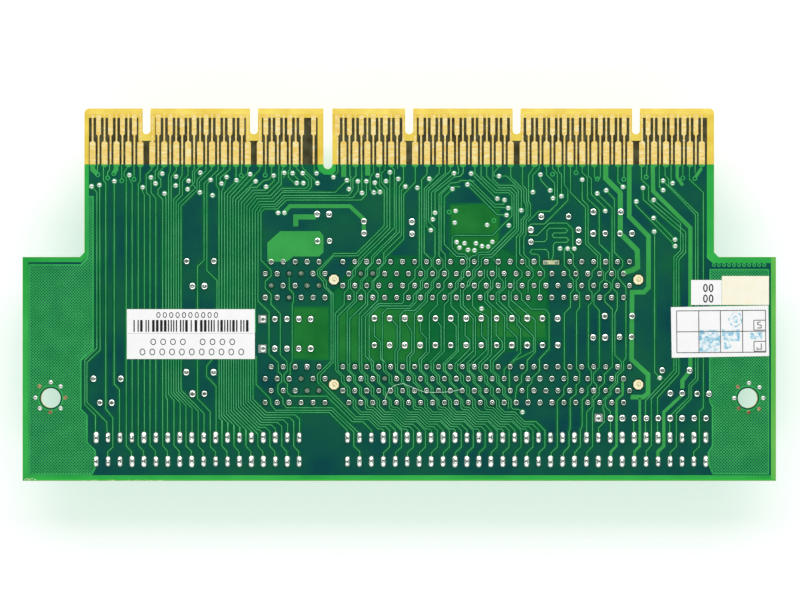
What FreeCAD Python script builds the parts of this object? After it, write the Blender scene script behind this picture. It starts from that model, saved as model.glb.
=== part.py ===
import FreeCAD, Part
import Sketcher
import os

# Bus adapter card for a server. A laminate board carries a keyed edge tongue, one long bus slot and
# two short ones. The card lies on its slots with the solder side up and the tongue towards +Y.
# The origin is under the middle of the board, on the surface that the slots rest on. Millimetres.

SIZES = {
    # laminate board
    "board_thickness": 1.6,
    "body_depth": 47.6,
    "tongue_depth": 31.6,
    "shoulder_width": 13.15,
    "corner_radius": 1.0,
    "bevel_length": 1.2,
    "bevel_depth": 0.45,
    "mount_hole_radius": 2.1,
    "mount_hole_inset": 6.0,
    "mount_hole_rise": 17.6,
    # edge lands and the notches that key the tongue
    "finger_positions": 52,
    "finger_pitch": 2.54,
    "finger_side_margin": 2.18,
    "finger_shift": -0.43,
    "land_thickness": 0.05,
    "land_chamfer": 0.3,
    "inner_land_width": 1.25,
    "inner_land_length": 4.9,
    "outer_land_width": 1.0,
    "outer_land_length": 4.5,
    "land_edge_gap": 0.1,
    "land_row_gap": 1.2,
    "shallow_notch_width": 1.7,
    "shallow_notch_depth": 5.5,
    "deep_notch_width": 1.9,
    "deep_notch_depth": 12.9,
    "deep_notch_step": 19.69,
    # long bus slot
    "slot_height": 11.2,
    "long_slot_rise": 6.67,
    "long_slot_shift": 0.2,
    "long_slot_width": 8.9,
    "long_slot_end_wall": 4.5,
    "long_slot_pitch": 2.54,
    "long_slot_positions": 52,
    "long_slot_key_first": 18,
    "long_slot_key_count": 3,
    "long_slot_row_gap": 5.08,
    "long_contact_width": 1.1,
    "long_joint_length": 2.5,
    "long_joint_width": 1.45,
    # short bus slots
    "short_slot_rise": 20.46,
    "short_slot_spacing": 22.33,
    "short_slot_shift": 10.24,
    "short_slot_width": 7.5,
    "short_slot_end_wall": 3.66,
    "short_slot_pitch": 1.27,
    "short_slot_positions": 62,
    "short_slot_key_first": 11,
    "short_slot_key_count": 2,
    "short_slot_row_gap": 2.54,
    "short_contact_width": 0.6,
    "short_joint_width": 1.3,
    "peg_radius": 1.1,
    "peg_clearance": 0.15,
    "peg_end_room": 1.85,
    # card slot moulded into each housing
    "card_slot_width": 1.8,
    "card_slot_depth": 8.0,
    "card_slot_room": 0.75,
    "lead_in": 0.7,
    "cavity_depth": 1.2,
    "cavity_lip": 1.0,
    "contact_reach": 0.3,
    "contact_bulge": 3.4,
    "foot_length": 2.0,
    "foot_height": 0.4,
    # solder joints
    "joint_height": 1.2,
    "lead_joint_width": 1.4,
    # resistor networks, resistors and capacitors on the component side
    "network_pitch": 2.54,
    "network_end": 1.27,
    "network_thickness": 2.4,
    "network_height": 5.1,
    "network_chamfer": 0.4,
    "resistor_pitch": 3.25,
    "resistor_lead_gap": 5.7,
    "resistor_radius": 0.85,
    "resistor_length": 3.4,
    "resistor_stand": 0.3,
    "wire_width": 0.5,
    "can_radius": 2.5,
    "can_height": 7.0,
    "can_lead_gap": 2.54,
    "ceramic_length": 7.0,
    "ceramic_thickness": 2.2,
    "ceramic_height": 5.5,
    "ceramic_chamfer": 0.6,
    "ceramic_lead_gap": 5.8,
    # clock buffer chip
    "chip_width": 9.0,
    "chip_height": 3.6,
    "chip_stand": 0.5,
    "chip_chamfer": 1.0,
    "chip_lead_pitch": 1.27,
    "chip_lead_width": 0.6,
    "chip_lead_depth": 0.4,
    "chip_lead_height": 2.2,
    "chip_leads_per_side": 5,
    # paper labels
    "label_thickness": 0.1,
    "bar_label_length": 27.2,
    "bar_label_depth": 10.6,
    "number_label_length": 6.5,
    "number_label_depth": 5.3,
    "cream_label_length": 10.0,
    "cream_label_depth": 6.15,
    "table_label_length": 20.7,
    "table_label_depth": 10.75,
    "table_label_turn": 1.0,
}

# Outer lands left out because a shallow notch takes their place, and the steps that hold no land.
NOTCHED_OUTER_STEPS = (4, 13, 26, 35, 45)
BARE_OUTER_STEPS = (19,)
BARE_INNER_STEPS = (18, 19, 20)

# Places of three labels: in from the right end of the board, and up from its rear edge.
NUMBER_LABEL_PLACE = (14.8, 40.05)
CREAM_LABEL_PLACE = (6.5, 40.48)
TABLE_LABEL_PLACE = (11.9, 31.73)

# Other places on the board: across from its middle, and up from its rear edge.
BAR_LABEL_PLACE = (-44.3, 31.2)
CHIP_PLACE = (17.4, 54.8)
NETWORK_NAMES = ("ten_pin_network", "front_five_pin_network", "rear_five_pin_network")
NETWORK_PLACES = ((53.8, 13.3), (-23.9, 34.4), (-23.9, 28.1))
NETWORK_PIN_COUNTS = (10, 5, 5)
NETWORKS = tuple(zip(NETWORK_NAMES, NETWORK_PLACES, NETWORK_PIN_COUNTS))
RESISTOR_ROW_PLACE = (14.2, 31.7)
RESISTOR_COUNT = 13
CAN_PLACES_ACROSS = (
    (-42.7, 41.4), (-42.7, 18.5), (-62.4, 16.6), (42.5, 30.5), (48.1, 30.6), (58.9, 18.6),
    (64.6, 18.5), (42.5, 52.6), (48.2, 52.6), (-16.2, 56.7), (-16.1, 51.0),
)
CAN_PLACES_ALONG = ((28.0, 52.1), (38.15, 52.1), (-7.5, 53.9), (2.7, 53.8))
CERAMIC_PLACES = (
    (-42.3, 46.7), (-42.4, 23.1), (-62.1, 21.7), (33.1, 56.2), (44.2, 57.2), (46.6, 35.05), (58.8, 23.5),
)

REAR_EDGE = "(-(Sizes.body_depth + Sizes.tongue_depth) / 2)"
FINGER_EDGE = "((Sizes.body_depth + Sizes.tongue_depth) / 2)"
SHOULDER = "((Sizes.body_depth - Sizes.tongue_depth) / 2)"
FINGER_FIELD = "((Sizes.finger_positions - 1) * Sizes.finger_pitch)"
HALF_TONGUE = f"({FINGER_FIELD} / 2 + Sizes.finger_side_margin)"
HALF_BOARD = f"({HALF_TONGUE} + Sizes.shoulder_width)"
BOARD_TOP = "(Sizes.slot_height + Sizes.board_thickness)"
LONG_SLOT_Y = f"({REAR_EDGE} + Sizes.long_slot_rise)"
SHORT_SLOT_Y = {
    "rear": f"({REAR_EDGE} + Sizes.short_slot_rise)",
    "front": f"({REAR_EDGE} + Sizes.short_slot_rise + Sizes.short_slot_spacing)",
}

doc = FreeCAD.newDocument("AdapterCard")
sheet = doc.addObject("Spreadsheet::Sheet", "Sizes")
for row, (alias, number) in enumerate(SIZES.items(), start=1):
    sheet.set(f"A{row}", alias)
    sheet.set(f"B{row}", str(number))
    sheet.setAlias(f"B{row}", alias)
doc.recompute()

nodes = []


def measure(text):
    """The value that an expression over the sheet has now."""
    return float(sheet.evalExpression(str(text)))


def size(alias):
    """One cell of the sheet."""
    return float(sheet.get(alias))


def count(alias):
    """One cell of the sheet that holds a whole number."""
    return int(round(size(alias)))


def place(thing, at):
    """Binds an object's place to three expressions."""
    for axis, text in zip("xyz", at):
        thing.setExpression("Placement.Base." + axis, str(text))


def on_board(spot, level):
    """Expressions for a place given across from the middle and up from the rear edge."""
    return (spot[0], f"{REAR_EDGE} + {spot[1]}", level)


# Sketches and features

def new_body(label, at=(0, 0, 0), node=True):
    body = doc.addObject("PartDesign::Body", label)
    body.Label = label
    place(body, at)
    if node:
        nodes.append(body)
    return body


def new_sketch(body, name, role="XY_Plane", level="0"):
    sketch = body.newObject("Sketcher::SketchObject", name)
    plane = next(item for item in body.Origin.OriginFeatures if item.Role == role)
    sketch.AttachmentSupport = [(plane, "")]
    sketch.MapMode = "FlatFace"
    sketch.setExpression("AttachmentOffset.Base.z", str(level))
    return sketch


def pin_point(sketch, geometry, point, across, up):
    """Ties one point of a sketch to expressions for its two coordinates."""
    for kind, text in (("DistanceX", str(across)), ("DistanceY", str(up))):
        rule = Sketcher.Constraint(kind, -1, 1, geometry, point, measure(text))
        sketch.setExpression(f"Constraints[{sketch.addConstraint(rule)}]", text)


def add_polygon(sketch, corners):
    """A closed outline whose corners follow expressions."""
    spots = [FreeCAD.Vector(measure(across), measure(up), 0) for across, up in corners]
    first = sketch.GeometryCount
    total = len(corners)
    for step in range(total):
        sketch.addGeometry(Part.LineSegment(spots[step], spots[(step + 1) % total]), False)
    for step in range(total):
        follower = first + (step + 1) % total
        sketch.addConstraint(Sketcher.Constraint("Coincident", first + step, 2, follower, 1))
        pin_point(sketch, first + step, 1, *corners[step])


def add_rectangle(sketch, left, low, right, high):
    add_polygon(sketch, [(left, low), (right, low), (right, high), (left, high)])


def add_circle(sketch, across, up, radius):
    centre = FreeCAD.Vector(measure(across), measure(up), 0)
    ring = sketch.addGeometry(Part.Circle(centre, FreeCAD.Vector(0, 0, 1), measure(radius)), False)
    pin_point(sketch, ring, 3, across, up)
    rule = sketch.addConstraint(Sketcher.Constraint("Radius", ring, measure(radius)))
    sketch.setExpression(f"Constraints[{rule}]", radius)


def add_octagon(sketch, across, up, radius):
    """A regular octagon with two level sides, given by the radius of its corners."""
    corners = []
    for step in range(8):
        angle = f"{45 * step + 22.5}deg"
        corners.append((f"{across} + {radius} * cos({angle})", f"{up} + {radius} * sin({angle})"))
    add_polygon(sketch, corners)


def pad(body, sketch, length):
    feature = body.newObject("PartDesign::Pad", sketch.Name + "_pad")
    feature.Profile = sketch
    feature.setExpression("Length", length)
    doc.recompute()
    return feature


def cut(body, sketch, length):
    """A pocket, with proof that it took material away."""
    before = body.Shape.Volume
    feature = body.newObject("PartDesign::Pocket", sketch.Name + "_cut")
    feature.Profile = sketch
    feature.setExpression("Length", length)
    feature.Reversed = True
    doc.recompute()
    if body.Shape.Volume >= before:
        raise RuntimeError(f"{sketch.Name} cuts nothing")
    return feature


def dress(body, kind, base, edges, amount):
    """A fillet or chamfer on the named edges of a feature."""
    feature = body.newObject("PartDesign::" + kind, f"{base.Name}_{kind.lower()}")
    feature.Base = (base, edges)
    feature.setExpression("Radius" if kind == "Fillet" else "Size", amount)
    doc.recompute()
    return feature


def plain_template(name, kind, sizes, at):
    """A Part primitive with its sizes and place bound to the sheet."""
    solid = doc.addObject("Part::" + kind, name)
    for prop, text in sizes.items():
        solid.setExpression(prop, text)
    place(solid, at)
    doc.recompute()
    return solid


def upright_edges(shape, spots):
    """Names of the edges along Z that stand on the given places."""
    names = []
    for number, edge in enumerate(shape.Edges, start=1):
        ends = [vertex.Point for vertex in edge.Vertexes]
        if len(ends) != 2 or abs(ends[0].z - ends[1].z) < edge.Length * 0.99:
            continue
        if any(abs(ends[0].x - x) + abs(ends[0].y - y) < 1e-4 for x, y in spots):
            names.append(f"Edge{number}")
    return names


def group(label, pieces, at):
    """One node of separate alike solids, each a template's shape turned about Z and moved."""
    feature = doc.addObject("Part::Feature", label)
    feature.Label = label
    solids = []
    for template, across, up, turn in pieces:
        solid = template.Shape.copy()
        solid.rotate(FreeCAD.Vector(0, 0, 0), FreeCAD.Vector(0, 0, 1), turn)
        solid.translate(FreeCAD.Vector(across, up, 0))
        solids.append(solid)
    feature.Shape = Part.makeCompound(solids)
    place(feature, at)
    nodes.append(feature)
    return feature


# Laminate board

def finger_x(step):
    """Expression for a place on the tongue's pitch grid."""
    return f"(({step}) * Sizes.finger_pitch - {FINGER_FIELD} / 2 + Sizes.finger_shift)"


def add_notch(sketch_walls, sketch_ends, across, kind):
    """A slot in from the finger edge with a round end."""
    half = f"(Sizes.{kind}_notch_width / 2)"
    floor = f"({FINGER_EDGE} - Sizes.{kind}_notch_depth + {half})"
    add_rectangle(sketch_walls, f"{across} - {half}", floor, f"{across} + {half}", FINGER_EDGE)
    add_circle(sketch_ends, across, floor, half)


def slot_x(kind, step):
    """Expression for a contact's place along its slot, from the slot's own middle."""
    return f"(({step} - (Sizes.{kind}_slot_positions - 1) / 2) * Sizes.{kind}_slot_pitch)"


PEG_PLACES = (
    slot_x("short", "(Sizes.short_slot_key_first + (Sizes.short_slot_key_count - 1) / 2)"),
    f"({slot_x('short', '(Sizes.short_slot_positions - 1)')} + Sizes.peg_end_room)",
)


def make_board():
    body = new_body("board", (0, 0, "Sizes.slot_height"))
    outline = new_sketch(body, "board_outline")
    right_side = [
        (HALF_BOARD, REAR_EDGE), (HALF_BOARD, SHOULDER), (HALF_TONGUE, SHOULDER), (HALF_TONGUE, FINGER_EDGE),
    ]
    left_side = [(f"-{across}", up) for across, up in reversed(right_side)]
    add_polygon(outline, right_side + left_side)
    slab = pad(body, outline, "Sizes.board_thickness")

    half, shoulder, edge = measure(HALF_TONGUE), measure(SHOULDER), measure(FINGER_EDGE)
    corners = [(sign * half, up) for sign in (-1, 1) for up in (shoulder, edge)]
    dress(body, "Fillet", slab, upright_edges(slab.Shape, corners), "Sizes.corner_radius")

    walls = new_sketch(body, "notch_walls")
    ends = new_sketch(body, "notch_ends")
    for step in NOTCHED_OUTER_STEPS:
        add_notch(walls, ends, finger_x(step + 0.5), "shallow")
    add_notch(walls, ends, finger_x("Sizes.deep_notch_step"), "deep")
    cut(body, walls, "Sizes.board_thickness")
    cut(body, ends, "Sizes.board_thickness")

    holes = new_sketch(body, "mount_holes")
    for sign in ("-", ""):
        across = f"{sign}({HALF_BOARD} - Sizes.mount_hole_inset)"
        add_circle(holes, across, f"{REAR_EDGE} + Sizes.mount_hole_rise", "Sizes.mount_hole_radius")
    cut(body, holes, "Sizes.board_thickness")

    sockets = new_sketch(body, "peg_holes")
    for up in SHORT_SLOT_Y.values():
        for along in PEG_PLACES:
            across = f"Sizes.short_slot_shift + {along}"
            add_octagon(sockets, across, up, "(Sizes.peg_radius + Sizes.peg_clearance)")
    cut(body, sockets, "Sizes.board_thickness")

    bevel = new_sketch(body, "finger_bevel", "YZ_Plane", f"-{HALF_TONGUE}")
    inside = f"({FINGER_EDGE} - Sizes.bevel_length)"
    add_polygon(bevel, [(inside, "0"), (FINGER_EDGE, "0"), (FINGER_EDGE, "Sizes.bevel_depth")])
    high = "Sizes.board_thickness"
    add_polygon(bevel, [(inside, high), (FINGER_EDGE, high), (FINGER_EDGE, f"{high} - Sizes.bevel_depth")])
    cut(body, bevel, f"2 * {HALF_TONGUE}")


# Gold lands of the edge tongue

def land_template(kind, tapered_end):
    """A land with its two shoulders cut, centred on its place."""
    body = new_body(f"{kind}_land", node=False)
    half, long = f"(Sizes.{kind}_land_width / 2)", f"(Sizes.{kind}_land_length / 2)"
    trim = "Sizes.land_chamfer"
    outline = new_sketch(body, f"{kind}_land_outline")
    square, tapered = f"{-tapered_end} * {long}", f"{tapered_end} * {long}"
    shoulder = f"{tapered_end} * ({long} - {trim})"
    add_polygon(outline, [
        (f"-{half}", square), (half, square), (half, shoulder),
        (f"({half} - {trim})", tapered), (f"-({half} - {trim})", tapered), (f"-{half}", shoulder),
    ])
    pad(body, outline, "Sizes.land_thickness")
    return body


def plain_land(kind):
    """The same land without its cut shoulders, as on the hidden side."""
    width, length = f"Sizes.{kind}_land_width", f"Sizes.{kind}_land_length"
    sizes = {"Length": width, "Width": length, "Height": "Sizes.land_thickness"}
    return plain_template(f"{kind}_plain_land", "Box", sizes, (f"-{width} / 2", f"-{length} / 2", 0))


def land_pattern(inner, outer):
    """Two staggered rows on one grid, with gaps at the notches."""
    edge_margin = size("bevel_length") + size("land_edge_gap")
    outer_y = measure(FINGER_EDGE) - edge_margin - size("outer_land_length") / 2
    row_step = size("outer_land_length") / 2 + size("land_row_gap") + size("inner_land_length") / 2
    lands = []
    for step in range(count("finger_positions")):
        if step not in BARE_INNER_STEPS:
            lands.append((inner, measure(finger_x(step)), outer_y - row_step, 0))
        bare = step in NOTCHED_OUTER_STEPS + BARE_OUTER_STEPS
        if step < count("finger_positions") - 1 and not bare:
            lands.append((outer, measure(finger_x(step + 0.5)), outer_y, 0))
    return lands


def make_lands():
    inner, outer = land_template("inner", 1), land_template("outer", -1)
    group("edge_lands_solder_side", land_pattern(inner, outer), (0, 0, BOARD_TOP))
    inner, outer = plain_land("inner"), plain_land("outer")
    level = "Sizes.slot_height - Sizes.land_thickness"
    group("edge_lands_component_side", land_pattern(inner, outer), (0, 0, level))


# Bus slots

def slot_sections(kind):
    """First and last contact of the two runs beside the key."""
    key = f"Sizes.{kind}_slot_key_first"
    return (
        ("0", f"({key} - 1)"),
        (f"({key} + Sizes.{kind}_slot_key_count)", f"(Sizes.{kind}_slot_positions - 1)"),
    )


def contact_steps(kind):
    first = count(f"{kind}_slot_key_first")
    key = range(first, first + count(f"{kind}_slot_key_count"))
    return [step for step in range(count(f"{kind}_slot_positions")) if step not in key]


CAVITY_WALL = "(Sizes.card_slot_width / 2 + Sizes.cavity_depth)"
CAVITY_TOP = "(Sizes.card_slot_depth + Sizes.cavity_lip)"


def make_housing(label, kind, at):
    """A moulded housing, mouth down: card slot on both sides of a key, contact room and lead-in."""
    body = new_body(label, at)
    half_length = f"({slot_x(kind, f'(Sizes.{kind}_slot_positions - 1)')} + Sizes.{kind}_slot_end_wall)"
    half_width = f"(Sizes.{kind}_slot_width / 2)"
    block = new_sketch(body, f"{label}_block")
    add_rectangle(block, f"-{half_length}", f"-{half_width}", half_length, half_width)
    pad(body, block, "Sizes.slot_height")

    relief = new_sketch(body, f"{label}_relief", level="Sizes.slot_height - Sizes.foot_height")
    inside = f"({half_length} - Sizes.foot_length)"
    add_rectangle(relief, f"-{inside}", f"-{half_width}", inside, half_width)
    cut(body, relief, "Sizes.foot_height")

    room = f"(Sizes.{kind}_contact_width / 2 + Sizes.card_slot_room)"
    half_card = "(Sizes.card_slot_width / 2)"
    card_slot = new_sketch(body, f"{label}_card_slot")
    contact_room = new_sketch(body, f"{label}_contact_room", level="Sizes.cavity_lip")
    for first, last in slot_sections(kind):
        left, right = f"{slot_x(kind, first)} - {room}", f"{slot_x(kind, last)} + {room}"
        add_rectangle(card_slot, left, f"-{half_card}", right, half_card)
        add_rectangle(contact_room, left, f"-{CAVITY_WALL}", right, CAVITY_WALL)
    cut(body, card_slot, "Sizes.card_slot_depth")
    cut(body, contact_room, "Sizes.card_slot_depth")

    for number, (first, last) in enumerate(slot_sections(kind)):
        mouth = new_sketch(body, f"{label}_mouth_{number}", "YZ_Plane", f"{slot_x(kind, first)} - {room}")
        wide = f"({half_card} + Sizes.lead_in)"
        add_polygon(mouth, [
            (f"-{wide}", "0"), (wide, "0"), (half_card, "Sizes.lead_in"), (f"-{half_card}", "Sizes.lead_in"),
        ])
        cut(body, mouth, f"{slot_x(kind, last)} - {slot_x(kind, first)} + 2 * {room}")
    return body


def add_pegs(body):
    """Locating pegs that stand in the board's peg holes."""
    pegs = new_sketch(body, f"{body.Label}_pegs", level="Sizes.slot_height - Sizes.foot_height")
    for along in PEG_PLACES:
        add_octagon(pegs, along, "0", "Sizes.peg_radius")
    pad(body, pegs, "Sizes.foot_height + Sizes.board_thickness")


def contact_template(kind):
    """A spring leaf that stands on the wall of its cavity and bulges into the card slot."""
    body = new_body(f"{kind}_contact", node=False)
    leaf = new_sketch(body, f"{kind}_contact_leaf", "YZ_Plane", f"-Sizes.{kind}_contact_width / 2")
    tip = "(Sizes.card_slot_width / 2 - Sizes.contact_reach)"
    add_polygon(leaf, [
        (CAVITY_WALL, "Sizes.cavity_lip"), (CAVITY_WALL, CAVITY_TOP), (tip, "Sizes.contact_bulge"),
    ])
    pad(body, leaf, f"Sizes.{kind}_contact_width")
    return body


def joint_template(name, length, width):
    """A solder joint that rises from its pad to the end of the pin."""
    wedge = doc.addObject("Part::Wedge", name)
    wedge.Placement.Rotation = FreeCAD.Rotation(FreeCAD.Vector(1, 0, 0), 90)
    limits = {
        "Xmin": f"-{width} / 2", "Xmax": f"{width} / 2", "Zmin": f"-{length} / 2", "Zmax": f"{length} / 2",
        "Ymin": "0", "Ymax": "Sizes.joint_height", "X2min": "0", "X2max": "0", "Z2min": "0", "Z2max": "0",
    }
    for limit, text in limits.items():
        wedge.setExpression(limit, text)
    doc.recompute()
    return wedge


def long_slot_joints(template):
    half_gap = size("long_slot_row_gap") / 2
    return [
        (template, measure(slot_x("long", step)), side * half_gap, 0)
        for step in contact_steps("long") for side in (-1, 1)
    ]


def short_slot_joints(template):
    """Four staggered rows: even contacts in the second and last row, odd ones in the others."""
    gap = size("short_slot_row_gap")
    joints = []
    for step in contact_steps("short"):
        rows = (1.5, -0.5) if step % 2 else (0.5, -1.5)
        joints += [(template, measure(slot_x("short", step)), row * gap, 0) for row in rows]
    return joints


def make_slot(label, kind, across, up, joints):
    """Housing, spring contacts and solder joints of one slot."""
    contact = contact_template_of[kind]
    springs = [
        (contact, measure(slot_x(kind, step)), 0, turn)
        for step in contact_steps(kind) for turn in (0, 180)
    ]
    body = make_housing(f"{label}_housing", kind, (across, up, "0"))
    group(f"{label}_contacts", springs, (across, up, "0"))
    group(f"{label}_solder_joints", joints, (across, up, BOARD_TOP))
    return body


# Components on the component side

def make_block(label, spot, level, length, width, height, chamfer):
    """A moulded block with its upright edges trimmed, centred on a place of the board."""
    body = new_body(label, on_board(spot, level))
    outline = new_sketch(body, f"{label}_outline")
    add_rectangle(outline, f"-{length} / 2", f"-{width} / 2", f"{length} / 2", f"{width} / 2")
    block = pad(body, outline, height)
    half_length, half_width = measure(length) / 2, measure(width) / 2
    corners = [(x * half_length, y * half_width) for x in (-1, 1) for y in (-1, 1)]
    dress(body, "Chamfer", block, upright_edges(block.Shape, corners), chamfer)
    return body


def make_network(label, spot, pins):
    length = f"({pins - 1} * Sizes.network_pitch + 2 * Sizes.network_end)"
    level = "Sizes.slot_height - Sizes.network_height"
    sizes = (length, "Sizes.network_thickness", "Sizes.network_height", "Sizes.network_chamfer")
    make_block(label, spot, level, *sizes)


def make_resistors():
    """A row of axial resistors on bent leads, each hung under its own place."""
    axis_level = "-Sizes.resistor_stand - Sizes.resistor_radius"
    rod = plain_template("resistor_rod", "Prism", {
        "Circumradius": "Sizes.resistor_radius", "Height": "Sizes.resistor_length",
    }, (0, "Sizes.resistor_length / 2", axis_level))
    rod.Polygon = 8
    rod.Placement.Rotation = FreeCAD.Rotation(FreeCAD.Vector(1, 0, 0), 90)
    lead = plain_template("resistor_lead", "Box", {
        "Length": "Sizes.wire_width",
        "Width": "(Sizes.resistor_lead_gap + Sizes.wire_width - Sizes.resistor_length) / 2",
        "Height": "Sizes.resistor_stand + Sizes.resistor_radius",
    }, ("-Sizes.wire_width / 2", "Sizes.resistor_length / 2", axis_level))
    doc.recompute()
    bodies, leads = [], []
    for step in range(RESISTOR_COUNT):
        across = (step - (RESISTOR_COUNT - 1) / 2) * size("resistor_pitch")
        bodies.append((rod, across, 0, 0))
        leads += [(lead, across, 0, turn) for turn in (0, 180)]
    level = "Sizes.slot_height"
    group("pull_up_resistors", bodies, on_board(RESISTOR_ROW_PLACE, level))
    group("pull_up_resistor_leads", leads, on_board(RESISTOR_ROW_PLACE, level))


def make_capacitors():
    can = plain_template("can", "Prism", {
        "Circumradius": "Sizes.can_radius", "Height": "Sizes.can_height",
    }, (0, 0, "-Sizes.can_height"))
    can.Polygon = 12
    doc.recompute()
    cans = [(can, across, up, 0) for across, up in CAN_PLACES_ACROSS + CAN_PLACES_ALONG]
    group("can_capacitors", cans, (0, REAR_EDGE, "Sizes.slot_height"))

    body = new_body("ceramic", node=False)
    outline = new_sketch(body, "ceramic_outline", "XZ_Plane", "-Sizes.ceramic_thickness / 2")
    half, high, trim = "(Sizes.ceramic_length / 2)", "Sizes.ceramic_height", "Sizes.ceramic_chamfer"
    add_polygon(outline, [
        (f"-{half}", "0"), (f"-{half}", f"-({high} - {trim})"), (f"-({half} - {trim})", f"-{high}"),
        (f"({half} - {trim})", f"-{high}"), (half, f"-({high} - {trim})"), (half, "0"),
    ])
    pad(body, outline, "Sizes.ceramic_thickness")
    ceramics = [(body, across, up, 0) for across, up in CERAMIC_PLACES]
    group("ceramic_capacitors", ceramics, (0, REAR_EDGE, "Sizes.slot_height"))


def make_chip():
    """A square chip with leads folded under its four sides."""
    width, height = "Sizes.chip_width", "Sizes.chip_height"
    level = "Sizes.slot_height - Sizes.chip_stand - Sizes.chip_height"
    make_block("clock_buffer_chip", CHIP_PLACE, level, width, width, height, "Sizes.chip_chamfer")
    lead = plain_template("chip_lead", "Box", {
        "Length": "Sizes.chip_lead_width",
        "Width": "Sizes.chip_lead_depth",
        "Height": "Sizes.chip_lead_height",
    }, ("-Sizes.chip_lead_width / 2", "Sizes.chip_width / 2", "-Sizes.chip_lead_height"))
    per_side = count("chip_leads_per_side")
    leads = []
    for turn in (0, 90, 180, 270):
        aim = FreeCAD.Rotation(FreeCAD.Vector(0, 0, 1), turn)
        for step in range(per_side):
            along = (step - (per_side - 1) / 2) * size("chip_lead_pitch")
            shift = aim.multVec(FreeCAD.Vector(along, 0, 0))
            leads.append((lead, shift.x, shift.y, turn))
    group("clock_buffer_leads", leads, on_board(CHIP_PLACE, "Sizes.slot_height"))


def make_component_joints():
    """Solder joints of the networks, resistors and capacitors."""
    joint = joint_template("lead_joint", "Sizes.lead_joint_width", "Sizes.lead_joint_width")
    pitch, spots = size("network_pitch"), []
    for _, (across, up), pins in NETWORKS:
        spots += [(across + (pin - (pins - 1) / 2) * pitch, up) for pin in range(pins)]
    across, up = RESISTOR_ROW_PLACE
    half = size("resistor_lead_gap") / 2
    for step in range(RESISTOR_COUNT):
        along = across + (step - (RESISTOR_COUNT - 1) / 2) * size("resistor_pitch")
        spots += [(along, up - half), (along, up + half)]
    half = size("can_lead_gap") / 2
    for across, up in CAN_PLACES_ACROSS:
        spots += [(across - half, up), (across + half, up)]
    for across, up in CAN_PLACES_ALONG:
        spots += [(across, up - half), (across, up + half)]
    half = size("ceramic_lead_gap") / 2
    for across, up in CERAMIC_PLACES:
        spots += [(across - half, up), (across + half, up)]
    joints = [(joint, across, up, 0) for across, up in spots]
    group("component_solder_joints", joints, (0, REAR_EDGE, BOARD_TOP))


# Paper labels on the solder side

def from_right_end(spot):
    """A place given in from the right end of the board, told across from its middle."""
    return (f"({HALF_BOARD} - {spot[0]})", spot[1])


def make_label(label, spot, turn="0"):
    """A thin sheet stuck to the board, centred on its place and turned about it."""
    body = new_body(label, on_board(spot, BOARD_TOP))
    body.setExpression("Placement.Rotation.Angle", f"{turn} * 1deg")
    half, deep = f"(Sizes.{label}_length / 2)", f"(Sizes.{label}_depth / 2)"
    outline = new_sketch(body, f"{label}_outline")
    add_rectangle(outline, f"-{half}", f"-{deep}", half, deep)
    pad(body, outline, "Sizes.label_thickness")


make_board()
make_lands()

contact_template_of = {kind: contact_template(kind) for kind in ("long", "short")}
long_joint = joint_template("long_joint", "Sizes.long_joint_length", "Sizes.long_joint_width")
short_joint = joint_template("short_joint", "Sizes.short_joint_width", "Sizes.short_joint_width")
make_slot("long_slot", "long", "Sizes.long_slot_shift", LONG_SLOT_Y, long_slot_joints(long_joint))
for side, slot_y in SHORT_SLOT_Y.items():
    joints = short_slot_joints(short_joint)
    add_pegs(make_slot(f"{side}_short_slot", "short", "Sizes.short_slot_shift", slot_y, joints))

for name, spot, pins in NETWORKS:
    make_network(name, spot, pins)
make_resistors()
make_capacitors()
make_chip()
make_component_joints()

make_label("bar_label", BAR_LABEL_PLACE)
make_label("number_label", from_right_end(NUMBER_LABEL_PLACE))
make_label("cream_label", from_right_end(CREAM_LABEL_PLACE))
make_label("table_label", from_right_end(TABLE_LABEL_PLACE), "Sizes.table_label_turn")

# Check and write
doc.recompute()
for item in doc.Objects:
    if "Invalid" in item.State or "Error" in item.State:
        raise RuntimeError(f"{item.Label} did not build: {item.State}")
for node in nodes:
    if node.Shape.isNull() or not node.Shape.isValid():
        raise RuntimeError(f"{node.Label} has no valid shape")

os.makedirs("parts", exist_ok=True)
for node in nodes:
    node.Shape.exportStep(f"parts/{node.Label}.step")
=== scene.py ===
import math
import random

import bpy
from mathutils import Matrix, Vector
from mathutils.geometry import tessellate_polygon


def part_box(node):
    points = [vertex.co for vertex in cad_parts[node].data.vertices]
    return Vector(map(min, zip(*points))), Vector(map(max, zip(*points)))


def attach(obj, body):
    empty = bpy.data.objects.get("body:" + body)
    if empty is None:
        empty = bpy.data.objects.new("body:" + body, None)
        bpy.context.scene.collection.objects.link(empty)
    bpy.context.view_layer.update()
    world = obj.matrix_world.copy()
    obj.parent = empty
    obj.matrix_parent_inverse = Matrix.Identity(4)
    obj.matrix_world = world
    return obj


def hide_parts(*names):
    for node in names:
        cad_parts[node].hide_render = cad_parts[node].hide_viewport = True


# Looks of the adapter card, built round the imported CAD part.
# Lists and values are in millimetres, +X along the slots, +Y towards the edge tongue, +Z up.

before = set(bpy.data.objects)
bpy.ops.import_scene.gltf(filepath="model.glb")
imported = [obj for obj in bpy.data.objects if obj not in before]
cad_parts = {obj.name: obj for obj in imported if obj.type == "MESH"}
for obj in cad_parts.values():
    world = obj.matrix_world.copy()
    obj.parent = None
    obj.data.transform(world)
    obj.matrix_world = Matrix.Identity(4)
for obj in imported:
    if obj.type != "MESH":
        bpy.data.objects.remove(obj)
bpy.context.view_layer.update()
random.seed(7)

MM = 0.001
SHARP_EDGE = 40
SHARPEST_MITRE = 0.5
PEAK_DEPTH = 0.01
PITCH = 2.54
BOARD_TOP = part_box("board")[1].z / MM
BOARD_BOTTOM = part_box("board")[0].z / MM

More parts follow.
